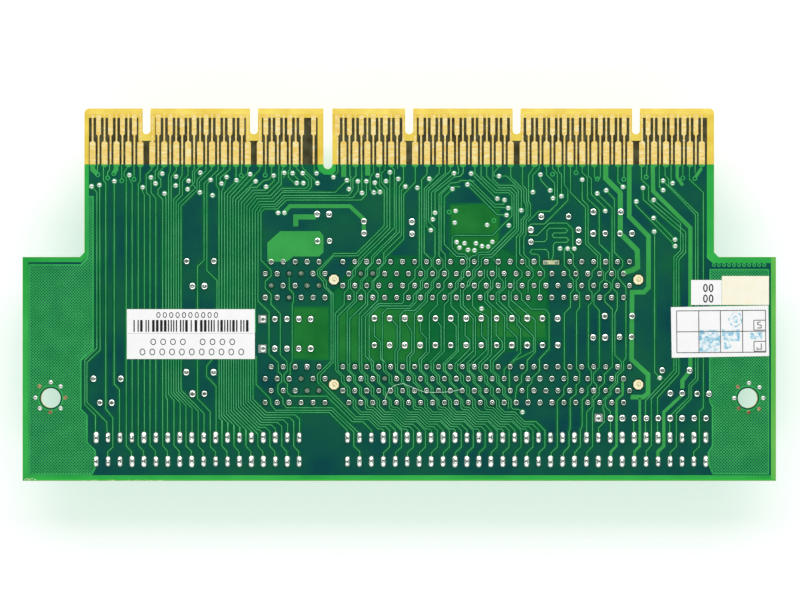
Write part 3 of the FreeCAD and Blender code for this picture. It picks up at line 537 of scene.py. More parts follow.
MIDDLE_ROUTES = (
    ((-7.0, 24.1, 21.3), (-8.1, 20.1), (-24.0, 20.1), (-25.9, 18.2), (-28.7, 18.2), (-29.4, 17.5, 7.3),
     (-27.3, 5.2), (-27.2, 4.0), (-28.5, 2.8, 1.3), (-27.25, 0.1, -2.1), (-25.3, -4.1, -12.8),
     (-23.9, -14.2), (-23.8, -16.2), (-24.5, -17.0, -18.4), (-23.8, -19.0, -20.8)),
    ((-25.7, -14.5, -16.4), (-25.0, -17.1, -18.5), (-25.8, -19.2, -20.9), (-24.8, -22.0), (-24.7, -23.2),
     (-24.0, -24.05), (-14.2, -24.05), (-8.6, -29.4)),
    ((-30.45, -13.0, -19.1), (-27.4, -22.2), (-27.3, -23.4), (-26.3, -24.6), (-14.4, -24.6),
     (-9.65, -29.2, -32.2), (-8.4, -33.4, -34.4)),
    ((-23.4, 4.5, 1.2), (-22.5, 0.2, -1.6), (-22.75, -2.0, -14.2), (-23.2, -14.8, -17.6)),
    ((-20.6, 27.7, 27.0), (-17.6, 24.0)), ((-18.1, 27.7, 26.0),), ((-23.2, 27.7, 26.6), (-23.6, 26.2)),
    ((-23.6, 26.2, 25.0), (-22.6, 24.0), (-21.9, 23.7)), ((-22.7, 25.7), (-21.4, 24.4)),
    ((-24.5, 25.8, 24.8),), ((-24.9, 22.1), (-19.4, 22.1), (-18.7, 22.8, 24.5), (-20.5, 26.3)),
    ((-13.1, 27.7), (-13.0, 26.2), (-14.0, 25.0)), ((-10.5, 27.7, 25.3), (-10.3, 25.0, 22.4)),
    ((-8.0, 27.7), (-7.95, 21.6)), ((-5.5, 27.7), (-5.4, 26.0), (-6.2, 24.9, 22.4), (-5.4, 21.7)),
    ((-5.2, 23.8), (-5.1, 23.0), (-4.1, 21.9)), ((-4.6, 25.3), (-4.7, 24.5)), ((-0.4, 27.7, 26.8),),
    ((-4.2, 27.2), (-4.1, 26.4), (-4.2, 23.2), (-3.2, 22.2, 14.65), (-9.1, 8.75), (-13.8, 8.75),
     (-17.4, 5.1, 4.2), (-16.1, 2.7), (-16.0, 1.7), (-14.5, 0.1, -14.2), (-17.4, -17.0)),
    ((-3.0, 27.7, 26.6), (-3.75, 25.8, 23.8), (-2.6, 22.6, 14.4), (-8.8, 8.25), (-14.0, 8.2),
     (-16.9, 5.0, 4.3), (-15.5, 2.8, 1.6), (-14.05, 0.1, -14.4), (-16.8, -17.2)),
    ((-2.0, 26.0, 14.1), (-8.6, 7.5, 6.6), (-9.9, 5.2, 4.0), (-10.8, 3.0, 1.3), (-11.7, 0.3, -2.1),
     (-13.61, -4.0, -14.8)),
    ((-1.7, 27.2), (-1.05, 26.5, 14.2), (-8.1, 7.15, 6.8), (-9.35, 5.4, 4.2), (-10.35, 3.1, 1.3),
     (-9.6, 0.5, -1.2), (-13.06, -4.6, -14.8)),
    ((-0.2, 24.6), (-0.65, 23.8, 13.3), (-5.9, 8.05, 6.7), (-7.2, 5.3, 4.0), (-8.3, 2.9, 1.2),
     (-9.1, 0.3, -1.4), (-11.07, -3.4, -14.8)),
    ((0.9, 27.2, 24.1), (0.0, 23.0, 13.3), (-5.5, 7.8, 6.9), (-6.75, 5.5, 4.1), (-7.9, 2.8, 1.3),
     (-7.2, 0.6, -1.9), (-10.52, -5.1, -14.8)),
    ((1.3, 23.0), (0.45, 22.1, 12.6), (-3.3, 8.85, 6.8), (-4.7, 5.4, 3.9), (-5.8, 2.8, 1.2),
     (-6.7, 0.3, -2.2), (-8.53, -4.1, -14.8)),
    ((3.4, 27.2, 23.9), (0.95, 21.3, 11.8), (-2.9, 7.95, 6.9), (-4.25, 5.5, 4.1), (-5.4, 2.9, 1.2),
     (-4.5, 0.3, -1.2), (-7.98, -4.7, -14.8)),
    ((3.85, 22.7), (4.25, 22.0, 6.2), (3.35, 5.3, 3.5), (2.0, 2.2, 1.2), (0.95, 0.1, -1.5), (0.6, -1.9),
     (-4.4, -1.9), (-7.2, -4.7, -13.1), (-5.99, -14.3, -14.8)),
    ((5.9, 27.2, 25.6), (4.75, 24.4, 5.8), (5.45, 5.0, 3.8), (4.5, 2.8, 1.4), (3.0, -0.1, -1.6),
     (2.2, -2.4), (-4.3, -2.4), (-6.4, -4.5, -13.3), (-5.44, -14.3, -14.8)),
    ((8.5, 27.2, 25.8), (5.3, 22.5, 8.9), (6.8, 7.5, 6.0), (5.95, 5.2, 3.7), (4.95, 2.7, 1.4),
     (3.6, 0.1, -1.6), (2.2, -2.95), (-2.5, -2.95), (-3.6, -4.0, -13.8), (-2.9, -14.5)),
    ((9.8, 27.7, 25.8), (5.72, 22.2, 14.6), (6.7, 13.7)),
    ((11.0, 27.2), (10.8, 26.2), (6.2, 22.0, 15.6), (7.6, 14.1, 8.2), (7.2, 7.7, 5.9), (8.0, 5.1, 3.8),
     (6.8, 2.6, 1.4), (5.5, 0.1, -1.2), (3.3, -3.4), (1.1, -3.4), (0.15, -4.3, -11.6),
     (-0.34, -12.1, -14.8)), ((12.3, 27.7), (12.6, 26.6, 25.8), (11.4, 25.6), (6.85, 21.7, 16.2)),
    ((13.6, 27.2, 25.9), (13.0, 25.2), (11.7, 25.0), (7.6, 21.8, 17.4)),
    ((16.0, 24.1), (13.1, 24.3), (12.5, 23.9), (10.9, 23.7), (8.45, 21.3, 8.2), (9.3, 7.3, 5.8),
     (8.45, 5.0, 3.8), (7.25, 2.6, 1.4), (6.0, 0.1, -1.4), (3.2, -4.2, -12.3), (2.29, -13.3, -14.8)),
    ((13.0, 22.9), (10.6, 23.0), (8.9, 21.3, 9.4), (9.8, 8.5, 5.7), (10.5, 5.0, 3.8), (9.5, 2.7, 1.3),
     (8.1, 0.0, -2.2), (6.4, -4.0, -12.2), (4.72, -13.9, -14.8)),
    ((11.3, 22.45), (10.8, 22.0), (9.57, 20.7, 10.7), (12.15, 8.1), (13.8, 8.1), (14.4, 7.4, 5.9),
     (13.2, 4.8, 3.7), (12.0, 2.6, 1.4), (10.4, 0.0, -1.3), (9.55, -2.3, -12.1), (7.26, -14.4, -14.8)),
    ((-5.3, -6.0, -8.8), (-4.0, -10.0, -13.6), (-3.45, -14.2, -14.8)),
    ((-1.4, -5.5), (-0.45, -6.5, -11.4), (-0.91, -12.0, -14.8)),
    ((1.4, -6.0), (2.65, -7.8, -12.2), (1.63, -13.2, -14.8)),
    ((4.5, -6.0, -8.0), (5.75, -9.2, -12.2), (4.17, -13.8, -14.8)),
    ((8.2, -5.9), (8.9, -6.7, -12.0), (6.71, -14.2, -14.8)),
    ((11.1, -5.7), (12.1, -6.7, -12.0), (9.25, -14.8)),
    ((11.0, 0.1, -2.4), (12.55, -4.0, -12.1), (9.8, -14.8)),
    ((14.0, -6.0, -8.7), (15.0, -9.7, -11.6), (11.79, -14.8)),
    ((13.0, 1.4, -2.5), (15.7, -5.1, -12.0), (12.34, -15.2)),
    ((14.2, 1.5), (13.6, 0.8, -2.3), (16.2, -4.8, -12.8), (14.33, -14.7)),
    ((17.5, -6.0, -8.8), (18.5, -9.7, -11.8), (14.88, -15.2)),
)

# Lines that thread the rear slot's pins, then step down in blocks of level runs towards the long slot
ROW_SHIFT = 1.25
ROW_JOGS = ((-16.1, -17.35), (-18.6, -19.85), (-21.2, -22.45))
THREAD_TOP = -14.7
ENTRIES = (-9.8, -9.25, -7.2, -6.8)
ENTRY_STEP = 2 * PITCH
FIRST_THREADED, LAST_LINE = 3, 28
# Lines in a block, how many lines ahead of its block a line leaves, and the lane of a block's first line
BLOCK_LINES, LINES_AHEAD, FIRST_LANE = len(ENTRIES), 6, 5
LANE_TOP, LANE_STEP = -24.45, 0.515
STAIR_START, STAIR_RUN, STAIR_LEAN = -8.6, 2.17, 0.414
STAIR_MIDDLE = -26.2
SHORTEST_ENTRY = 0.4
FIRST_TARGET, TARGET_START = -5.86, -4.59
STAIR_FOOT, STAIR_PASS, STAIR_TURN = -28.9, -32.4, -33.6


def entry_x(line):
    """Place of a threaded line between the pins of the last row."""
    group, place = divmod(line - FIRST_THREADED, BLOCK_LINES)
    return ENTRIES[place] + ENTRY_STEP * group


def threaded(line):
    """Bends of a line between the four pin rows of the rear slot."""
    x = entry_x(line) - len(ROW_JOGS) * ROW_SHIFT
    path = [(x, THREAD_TOP)]
    for number, (leave, arrive) in enumerate(ROW_JOGS):
        path += [(x + number * ROW_SHIFT, leave), (x + (number + 1) * ROW_SHIFT, arrive)]
    return path


def stairs(line):
    """Level runs of a line, block by block, and its end at a pin of the long slot."""
    path = []
    first = max(0, math.ceil((line - LINES_AHEAD) / BLOCK_LINES))
    last = math.ceil(line / BLOCK_LINES)
    target = FIRST_TARGET if line == 0 else TARGET_START + PITCH / 2 * line
    for block in range(first, last + 1):
        y = LANE_TOP - LANE_STEP * (BLOCK_LINES * block - line + FIRST_LANE)
        block_x = STAIR_START + ENTRY_STEP * block + STAIR_LEAN * (y - STAIR_MIDDLE)
        x = block_x
        enters = block == first and line >= FIRST_THREADED
        if enters:
            enter = max(x - entry_x(line), SHORTEST_ENTRY)
            path.append((entry_x(line), y + enter))
            x = entry_x(line) + enter
        if block > first or enters:
            path.append((x, y))
        path.append((target - (y - STAIR_FOOT) if block == last else block_x + STAIR_RUN, y))
    path.append((target, STAIR_FOOT))
    if line % 2 or line == 0:
        return [*path, (target, FRONT_ROW_END)]
    column = target - PITCH / 2
    return [*path, (target, STAIR_PASS), (column, STAIR_TURN), (column, REAR_ROW_END)]


STAIR_ROUTES = [threaded(line) + stairs(line) for line in range(FIRST_THREADED, LAST_LINE + 1)]
FROM_THE_LEFT = (
    ((-23.8, -20.8), (-23.0, -21.6), (-15.4, -21.6), (-9.97, -27.03)),
    ((-17.4, -17.0), (-17.4, -18.6), (-9.49, -26.51)),
    ((-16.8, -17.2), (-16.8, -18.4), (-9.2, -26.0)),
)
STAIR_ROUTES += [[*start, *stairs(line)] for line, start in enumerate(FROM_THE_LEFT)]

RIGHT_ROUTES = (
    ((19.9, 27.7, 24.6), (21.2, 23.25), (24.2, 23.25), (25.3, 22.1, 13.6), (19.7, 7.95), (17.9, 7.95),
     (17.45, 7.5, 6.2), (16.15, 5.0, 3.8), (15.0, 2.7, 2.0), (14.2, 1.5)),
    ((18.6, 27.2, 25.1), (21.2, 22.7), (23.8, 22.7), (24.9, 21.6, 13.9), (19.5, 8.5), (17.1, 8.5),
     (16.8, 8.1, 6.4), (15.6, 5.1, 3.8), (14.5, 2.7, 1.9), (13.0, 1.4)),
    ((17.4, 27.7, 25.2), (20.7, 22.2), (23.4, 22.2), (24.4, 21.2, 14.3), (19.1, 9.0), (16.9, 9.0),
     (16.2, 8.3), (15.4, 8.2), (14.95, 7.7, 6.0), (13.7, 4.8, 3.7), (12.5, 2.6, 1.5), (11.0, 0.1)),
    ((16.1, 27.2, 25.8), (20.4, 21.65), (23.2, 21.65), (23.95, 20.9, 16.7), (19.85, 12.6), (11.6, 12.6),
     (11.25, 12.2, 9.9), (12.5, 8.65), (13.9, 8.65), (14.6, 7.9, 7.4)), ((15.3, 25.8), (20.7, 20.4)),
    ((15.0, 24.5), (20.3, 19.2), (22.2, 19.2), (22.4, 20.1)), ((14.8, 23.9), (20.2, 18.6), (23.2, 18.5)),
    ((14.5, 23.4), (20.8, 17.0), (22.8, 16.9)),
    ((21.2, 27.2), (20.2, 26.0, 25.2), (21.2, 25.2), (22.8, 25.2), (25.95, 22.2, 17.9)),
    ((23.7, 27.2, 25.0), (26.5, 22.3, 19.8), (26.95, 19.2, 17.0), (25.9, 15.9, 13.3), (24.9, 12.2, 6.0),
     (26.1, 4.9, 3.8), (25.0, 2.8, 1.2), (26.0, 0.2, -1.0), (28.1, -3.1), (31.1, -3.1),
     (31.85, -4.1, -11.5), (29.8, -13.7, -16.2), (28.2, -17.8, -18.7), (27.3, -19.6, -22.6)),
    ((26.2, 27.2, 23.3), (27.05, 22.4, 19.8), (27.35, 19.3, 16.9), (26.4, 15.9, 13.1), (25.6, 12.3, 8.6),
     (26.9, 7.4, 6.2), (28.5, 4.8, 3.8), (27.4, 2.8, 0.5)),
    ((18.1, 5.3, 3.7), (16.9, 2.5, 1.3), (15.6, 0.1, -2.4), (16.6, -3.6), (18.4, -4.3),
     (18.9, -4.8, -12.6), (16.87, -14.7)),
    ((28.7, 27.2), (27.5, 25.4, 19.9), (27.9, 19.2, 16.8), (26.95, 15.8, 12.8), (26.5, 12.2, 8.6),
     (27.6, 7.5, 6.3), (28.7, 5.2)), ((29.8, 27.7, 26.9), (28.4, 25.4, 21.8)),
    ((30.0, 25.5), (30.1, 24.3), (32.1, 22.15)), ((31.3, 27.2, 25.5), (33.05, 23.7, 21.0), (32.7, 20.5)),
    ((32.6, 27.7, 26.8), (33.6, 25.7, 19.3), (32.0, 17.7), (29.6, 17.7), (27.4, 15.5)),
    ((33.8, 27.2, 26.3), (34.5, 25.5, 20.95)),
    ((35.1, 27.7, 23.3), (35.85, 22.4, 20.0), (30.85, 15.0), (28.0, 15.0), (27.4, 14.4, 13.4)),
    ((36.4, 27.2, 21.7), (39.6, 18.5, 10.8), (42.15, 8.3, 6.0), (41.0, 4.9, 3.8), (40.35, 3.0, 1.2),
     (41.0, 0.4, -1.6), (40.2, -2.4, -15.4), (40.9, -16.3, -18.9), (40.1, -19.7, -21.2),
     (38.9, -22.4, -28.0), (38.5, -28.8, -32.3), (37.3, -33.6, -34.4)),
    ((38.9, 27.2, 26.0), (40.0, 24.9, 20.4), (42.5, 18.1, 10.8), (44.7, 8.7, 5.3), (43.8, 4.4, 3.1),
     (45.0, 2.4, 1.0), (43.7, -0.2, -1.5), (45.3, -3.1, -15.3), (43.6, -17.0, -18.8), (42.5, -19.8, -21.2),
     (41.35, -22.4, -24.3), (41.1, -25.0, -32.3), (39.9, -33.5, -34.4)),
    ((38.9, 24.45, 20.2), (40.15, 18.9, 11.0), (42.75, 8.5, 5.6), (43.4, 4.8, 3.1), (42.6, 2.4, 1.0),
     (41.4, -0.1, -2.1), (42.55, -3.4, -15.5), (41.3, -16.8, -18.5), (42.0, -19.3, -20.8),
     (41.0, -21.9, -23.8), (39.85, -25.0, -29.4)),
    ((40.2, 27.7, 25.3), (40.85, 24.6, 21.3), (43.8, 18.4, 17.8)), ((41.5, 27.2, 25.0), (42.1, 24.6)),
    ((42.75, 27.7, 25.0), (42.1, 24.6)), ((37.7, 27.7), (37.6, 26.3)), ((46.5, 27.2, 24.0), (47.6, 22.9)),
    ((47.8, 27.7), (47.75, 24.9)), ((52.7, 27.7), (52.6, 25.4)),
    ((42.1, 21.5), (45.25, 18.4, 5.8), (46.0, 5.0, 3.7), (45.4, 3.0), (45.3, 1.4), (46.35, 0.4, -3.0),
     (45.85, -4.0, -12.9), (47.2, -14.2, -15.8), (46.0, -17.0, -18.6), (44.6, -20.0, -21.1),
     (43.3, -22.4, -24.2), (43.6, -25.0, -27.1), (42.4, -28.3, -29.4)),
    ((44.0, 22.15), (45.75, 20.3, 9.0), (47.5, 7.2, 6.0), (46.5, 5.0, 3.6), (48.2, 1.6, -13.4),
     (47.7, -14.2, -16.0), (46.4, -17.3, -18.8), (45.0, -20.2, -21.2), (43.8, -22.4, -23.8),
     (44.9, -24.9, -29.4)),
    ((35.1, 9.8, 6.2), (36.25, 5.0, 4.0), (37.0, 3.1, 1.0), (36.4, 0.3, -2.6), (35.1, -4.0, -15.7),
     (35.85, -16.6, -18.8), (35.0, -19.8, -21.2), (33.6, -22.6, -32.4), (32.3, -33.6, -34.4)),
    ((35.8, 9.8), (37.0, 8.5, 6.3), (38.1, 5.0, 3.6), (37.6, 3.0), (37.7, 1.0), (38.35, 0.3, -2.7),
     (37.7, -3.6, -15.7), (38.35, -16.5, -18.5), (37.6, -19.3, -21.1), (36.35, -22.2, -28.3),
     (36.1, -29.0, -32.3), (34.9, -33.6, -34.4)),
    ((28.0, 11.25), (30.9, 11.25), (31.4, 11.8, 13.6), (31.9, 14.1), (35.4, 14.1), (35.8, 13.7),
     (35.4, 13.1), (32.9, 13.1), (32.5, 12.6), (32.9, 12.1), (35.6, 12.1), (36.0, 11.6), (35.6, 11.1),
     (33.2, 11.1), (32.75, 10.6, 8.2), (32.2, 6.9)),
    ((31.8, 7.6), (31.7, 9.0), (31.2, 9.6), (28.2, 9.6), (27.8, 9.1), (28.2, 8.6), (29.3, 8.6),
     (29.8, 8.1, 6.3), (30.9, 5.0, 3.8), (29.8, 2.7, 0.0)),
    ((27.6, 12.6), (29.3, 12.6), (31.9, 15.2), (35.6, 15.2), (36.9, 13.8, 10.4)),
    ((18.7, 5.3, 3.9), (19.4, 3.0, 1.4), (18.2, 0.2, -1.6), (19.6, -3.0, -12.8), (17.42, -15.0)),
    ((20.0, 7.6), (20.7, 6.6, 3.9), (19.9, 2.9, 1.5), (18.8, 0.3, -1.4), (22.4, -4.6, -11.8),
     (19.96, -14.3, -16.2), (21.2, -17.4, -18.6), (22.5, -19.9, -21.2), (23.77, -22.4, -23.9),
     (24.2, -24.35), (25.4, -24.4), (26.2, -25.0)),
    ((21.2, 5.8, 3.8), (22.1, 2.8, 1.6), (20.6, 0.3, -1.8), (22.9, -3.9, -7.0), (25.05, -9.1, -12.0)),
    ((22.6, 4.6, 1.5), (21.2, 0.3, -1.4), (25.0, -5.1, -6.4), (25.8, -7.3, -12.4), (22.3, -15.9, -17.6)),
    ((23.3, 1.0, -2.5), (25.5, -4.7, -5.8), (28.5, -8.8, -12.0), (24.5, -14.0), (23.4, -16.0, -20.0)),
    ((24.4, 3.2, 1.2), (23.8, 0.4, -1.2), (28.9, -5.4, -12.2), (27.2, -14.0, -16.0), (26.0, -17.2, -18.6),
     (25.0, -19.6), (24.6, -22.4)),
    ((20.6, -6.0, -8.6), (21.9, -10.0, -11.5), (19.41, -14.0, -16.2), (20.7, -17.4, -18.6),
     (22.0, -19.9, -21.2), (23.2, -22.4, -24.3)),
)
FAR_RIGHT_ROUTES = (
    ((51.5, 27.2, 24.5), (53.0, 23.0, 20.1), (60.9, 13.3, 9.0), (59.45, 7.4, -16.9), (54.9, -21.9, -29.4)),
    ((51.8, 22.7), (51.9, 20.2), (60.35, 12.8, 9.2), (58.9, 7.7, -16.5), (53.6, -22.1, -32.1),
     (52.5, -33.3, -34.4)), ((54.1, 20.1), (59.8, 15.2, 9.4), (58.4, 8.0, -16.1), (52.35, -22.6, -29.4)),
    ((55.3, 27.7, 22.9), (56.1, 22.2)), ((57.8, 27.7, 24.6), (58.1, 23.7)), ((60.3, 27.7, 25.3),),
    ((62.9, 27.7, 25.8),),
    ((56.5, 27.2, 25.4), (57.25, 24.5, 23.3), (63.5, 17.2, -18.1), (62.05, -19.5, -22.1),
     (58.9, -25.3, -32.3), (57.6, -33.6, -34.4)),
    ((56.1, 24.2), (63.0, 17.0, -17.8), (61.6, -19.2, -21.8), (57.5, -25.9, -29.4)),
    ((61.7, 27.2, 24.5), (64.65, 21.7, -24.1), (63.8, -24.9, -32.3), (62.6, -33.5, -34.4)),
    ((50.4, 19.8), (50.3, 19.0), (58.4, 10.7)), ((54.1, 16.3), (58.6, 11.7)),
    ((54.3, 13.4, -16.5), (55.4, -17.7)), ((49.85, -26.2, -29.4),),
)


# Copper under the mask: bands beside the lines, the lines, wide strips and fields

LINE_WIDTH, BAND_WIDTH, BAND_SLOPE = 0.15, 0.9, 0.2
# Bands that cross each other lie at slightly different heights
BAND_LIFT, BAND_LIFTS = 0.0004, 15
ALL_ROUTES = [
    *FINGER_ROUTES_LEFT, *BUNDLE_ROUTES, *MIDDLE_ROUTES, *STAIR_ROUTES, *RIGHT_ROUTES, *FAR_RIGHT_ROUTES,
]
lines, bands = Shape(), Shape()
for number, route in enumerate(map(bends, ALL_ROUTES)):
    add_ribbon(lines, route, LINE_WIDTH, ON_PLANE, level(TRACE_TOP))
    band_top = level(BAND_TOP + BAND_LIFT * (number % BAND_LIFTS))
    add_ribbon(bands, route, BAND_WIDTH, ON_PLANE, band_top, BAND_SLOPE)
make_piece("line_bands", bands, MASK_HALO)
make_piece("lines", lines, MASK_TRACE)

# Wide strips, each with its width
STRIP_SLOPE = 0.06
STRIPS = (
    (1.0, ((48.9, 27.7, 16.6), (53.0, 12.4, 1.5), (52.0, 0.5), (49.5, 0.5), (49.4, -13.8),
     (52.9, -17.0, -21.0), (51.9, -21.8), (49.2, -21.8))),
    (0.9, ((53.9, 27.7), (54.0, 22.0), (61.9, 14.2, -16.2), (60.2, -18.3, -20.0))),
    (1.1, ((43.9, 27.7, 24.7), (47.0, 21.6, 13.0), (50.6, 9.4), (50.7, 5.8), (49.6, 5.2), (47.6, 4.6))),
    (0.7, ((60.2, -21.3), (56.25, -25.0, -32.2), (55.0, -33.4, -34.5))),
    (0.55, ((47.5, -18.3, -21.2), (46.2, -22.4, -32.2), (45.0, -33.4, -34.5))),
    (0.55, ((51.15, -22.0, -32.2), (50.0, -33.4, -34.5))), (0.7, ((59.1, 27.4, 24.9), (60.3, 23.2))),
    (0.7, ((64.3, 26.9), (62.9, 24.9))), (1.0, ((-65.2, 27.6, 26.6), (-64.2, 25.6))),
    (1.0, ((-60.2, 27.6, 26.6), (-60.7, 25.8))),
    (0.85, ((-24.4, 17.6), (-23.2, 18.8), (-10.5, 18.8), (-7.6, 16.1), (-7.5, 12.8))),
    (1.1, ((-22.0, 14.5, 16.5), (-17.7, 16.5))), (1.1, ((-11.8, 27.6, 25.0),)),
    (1.1, ((-6.7, 27.6, 25.3),)),
)
COPPER_FIELD = [
    (-28.1, 11.0), (-25.3, 13.5), (-16.9, 13.5), (-16.1, 12.5), (-16.1, 9.0), (-17.1, 8.1), (-22.5, 8.1),
    (-23.9, 7.0), (-28.0, 7.0),
]
strips = Shape()
for width, route in STRIPS:
    add_ribbon(strips, bends(route), width, ON_PLANE, level(POUR_TOP), STRIP_SLOPE)
add_plate(strips, COPPER_FIELD[::-1], ON_PLANE, level(POUR_TOP))
make_piece("wide_strips", strips, MASK_POUR)


def grown(outline, amount):
    """The outline pushed outwards on every side."""
    steps = sideways([*outline, *outline[:2]])[1:-1]
    steps = steps[-1:] + steps[:-1]
    return [(x - step.x * amount, y - step.y * amount) for (x, y), step in zip(outline, steps)]


# Fields where the inner planes leave a gap or run thin, so the laminate shows a fresher green
GAPS = (
    rectangle(11.0, 8.0, 21.0, 19.0), rectangle(-22.5, -13.5, -15.2, -2.9),
    rectangle(-13.0, -14.0, 5.0, -3.0), rectangle(15.0, -9.0, 31.0, -3.0),
)
THIN_PLANE = [
    (-14.0, -14.0), (-14.0, 0.4), (-11.6, 2.6), (-9.2, 7.6), (16.0, 7.8), (22.0, 9.6), (25.5, 7.6),
    (31.0, 5.4), (31.5, -9.5), (16.0, -13.4), (6.0, -14.0),
]
# Each field has its piece, its outlines, how far it grows past them, its lift and its material
for name, outlines, growth, lift, material in (
    ("plane_gaps", GAPS, 0, 0.005, MASK_PATCH),
    ("plane_gap_rims", GAPS, 0.45, 0.004, MASK_MIDDLE),
    ("thin_plane", (THIN_PLANE[::-1],), 0, 0.0025, MASK_MIDDLE),
    ("thin_plane_rim", (THIN_PLANE[::-1],), 0.7, 0.0015, MASK_HALO),
):
    field = Shape()
    for outline in outlines:
        add_plate(field, grown(outline, growth), ON_PLANE, level(PLANE_TOP + lift))
    make_piece(name, field, material)

# Ends of the lands that run on under the mask
LAND_END, LAND_END_HALF, LAND_END_DROP = 27.05, 0.75, 0.004
land_ends = Shape()
for step in range(FINGER_STEPS):
    if step not in DEEP_NOTCH_STEPS:
        x = finger_x(step)
        outline = half_round(x, LAND_END, LAND_END_HALF)
        outline += [(x + LAND_END_HALF, MASK_EDGE), (x - LAND_END_HALF, MASK_EDGE)]
        add_plate(land_ends, outline, ON_PLANE, level(POUR_TOP - LAND_END_DROP))
make_piece("land_ends", land_ends, MASK_POUR)


# Hatched copper at both ends of the board

HATCH_PITCH, HATCH_WIDTH, HATCH_SLOPE = 0.45, 0.17, 0.03
HATCH_STEPS, SHORTEST_HATCH, CROSSING_LIFT = 160, 0.3, 0.002
HATCH_CLEARING = 2.75
PARALLEL = 1e-9
BORDER_WIDTH, BORDER_TOP = 0.3, 0.055
LEFT_HATCH = [
    (-78.7, 6.3), (-67.7, 6.3), (-66.3, 7.8), (-66.3, 20.8), (-65.1, 20.8), (-65.1, -11.7), (-67.7, -14.0),
    (-67.7, -24.4), (-66.4, -25.7), (-66.4, -31.5), (-64.7, -33.1), (-64.6, -34.0), (-65.0, -36.0),
    (-64.7, -37.0), (-65.4, -38.2), (-78.7, -38.2),
]
RIGHT_HATCH = [
    (78.5, 5.3), (66.1, 5.3), (66.0, -22.7), (66.6, -23.8), (66.6, -32.2), (65.7, -33.6), (66.0, -36.5),
    (66.7, -38.1), (78.5, -38.1),
]


def spans_inside(origin, along, outlines):
    """Stretches of a straight line that lie inside the first outline and outside the others."""
    cuts = []
    for outline in outlines:
        for index, start in enumerate(outline):
            here, there = Vector(start), Vector(outline[index - 1])
            edge = there - here
            across = along.cross(edge)
            if abs(across) > PARALLEL:
                share = (here - origin).cross(along) / across
                if 0 <= share < 1:
                    cuts.append((here - origin).cross(edge) / across)
    cuts.sort()
    return list(zip(cuts[::2], cuts[1::2]))


def add_hatch(shape, outline, hole):
    """Two sets of thin slanted strips inside an outline, clear of a round hole."""
    clearing = circle(*hole, HATCH_CLEARING, sides=36)
    for slant, lift in ((1, 0.0), (-1, CROSSING_LIFT)):
        along = Vector((1, slant)).normalized()
        for step in range(-HATCH_STEPS, HATCH_STEPS + 1):
            origin = Vector(hole) + Vector((-along.y, along.x)) * HATCH_PITCH * step
            for start, end in spans_inside(origin, along, (outline, clearing)):
                if end - start > SHORTEST_HATCH:
                    route = [tuple(origin + along * start), tuple(origin + along * end)]
                    add_ribbon(shape, route, HATCH_WIDTH, ON_PLANE, level(HATCH_TOP + lift), HATCH_SLOPE)


hatch = Shape()
for outline, hole in zip((LEFT_HATCH, RIGHT_HATCH), MOUNT_HOLES):
    add_hatch(hatch, outline, hole)
    add_ribbon(hatch, [*outline, outline[0]], BORDER_WIDTH, ON_PLANE, level(BORDER_TOP))
make_piece("hatched_copper", hatch, MASK_HATCH)


# Small plated holes: filled with solder, or covered by the mask

FILLED_HOLES = (
    (-65.4, 23.0), (-63.75, 23.3), (-60.55, 24.1), (-57.4, 25.4), (-54.55, 22.8), (-52.8, 24.9),
    (-51.8, 23.6), (-50.4, 25.7), (-49.9, 21.5), (-47.45, 25.1), (-47.55, 23.2), (-44.8, 24.2),
    (-45.0, 22.4), (-42.3, 25.9), (-42.4, 21.7), (-40.1, 24.4), (-39.7, 21.1), (-37.8, 23.6), (-36.7, 25.0),
    (-34.6, 24.3), (-31.7, 25.6), (-30.55, 24.1), (-28.3, 22.9), (-26.7, 25.3), (-24.45, 25.9),
    (-22.7, 25.8), (-20.5, 25.8), (-21.8, 23.7), (-20.4, 23.7), (-17.6, 25.8), (-17.4, 23.7),
    (-25.75, 17.4), (-24.4, 17.4), (-14.0, 25.0), (-11.1, 24.3), (-10.7, 22.4), (-8.8, 24.1), (-7.0, 24.1),
    (-7.9, 21.6), (-5.2, 23.8), (-4.6, 25.3), (-5.4, 21.7), (-4.1, 21.8), (-2.8, 24.1), (-2.0, 26.0),
    (-0.2, 24.6), (1.3, 23.0), (3.85, 22.7), (6.4, 24.6), (11.65, 25.8), (11.3, 22.45), (14.5, 23.4),
    (15.3, 25.75), (7.6, 17.4), (7.15, 16.0), (6.7, 13.7), (12.0, 17.8), (11.8, 15.3), (12.2, 11.2),
    (12.8, 10.0), (13.9, 10.9), (14.6, 9.5), (16.3, 10.9), (16.0, 9.4), (17.6, 10.3), (18.9, 10.2),
    (19.8, 11.2), (21.2, 25.2), (20.85, 20.4), (22.4, 20.1), (23.2, 18.4), (22.8, 16.9), (18.7, 14.8),
    (23.3, 14.7), (25.95, 17.9), (28.4, 21.8), (30.0, 25.5), (32.1, 22.15), (32.7, 20.5), (34.5, 20.95),
    (38.9, 24.45), (42.1, 21.5), (44.0, 22.15), (47.6, 22.9), (34.2, 9.8), (35.8, 9.8), (37.2, 9.8),
    (43.8, 17.8), (17.5, -3.0), (26.2, -25.0), (55.4, -17.7), (56.1, 24.2), (58.1, 23.7), (51.8, 22.7),
    (56.1, 22.2), (50.4, 19.8), (54.1, 20.1), (54.1, 16.3), (54.2, 13.4), (58.65, 11.7), (58.65, 10.3),
)
COVERED_HOLES = (
    (-64.1, 25.5), (-62.0, 24.8), (-60.7, 25.7), (-59.0, 24.2), (-56.4, 24.5), (-33.6, 25.3), (-28.5, 25.4),
    (10.6, 17.55), (20.1, 15.75), (32.6, 25.6), (37.6, 25.9), (42.1, 24.6), (47.75, 24.5), (52.5, 25.0),
    (60.3, 24.8), (62.85, 24.7),
)
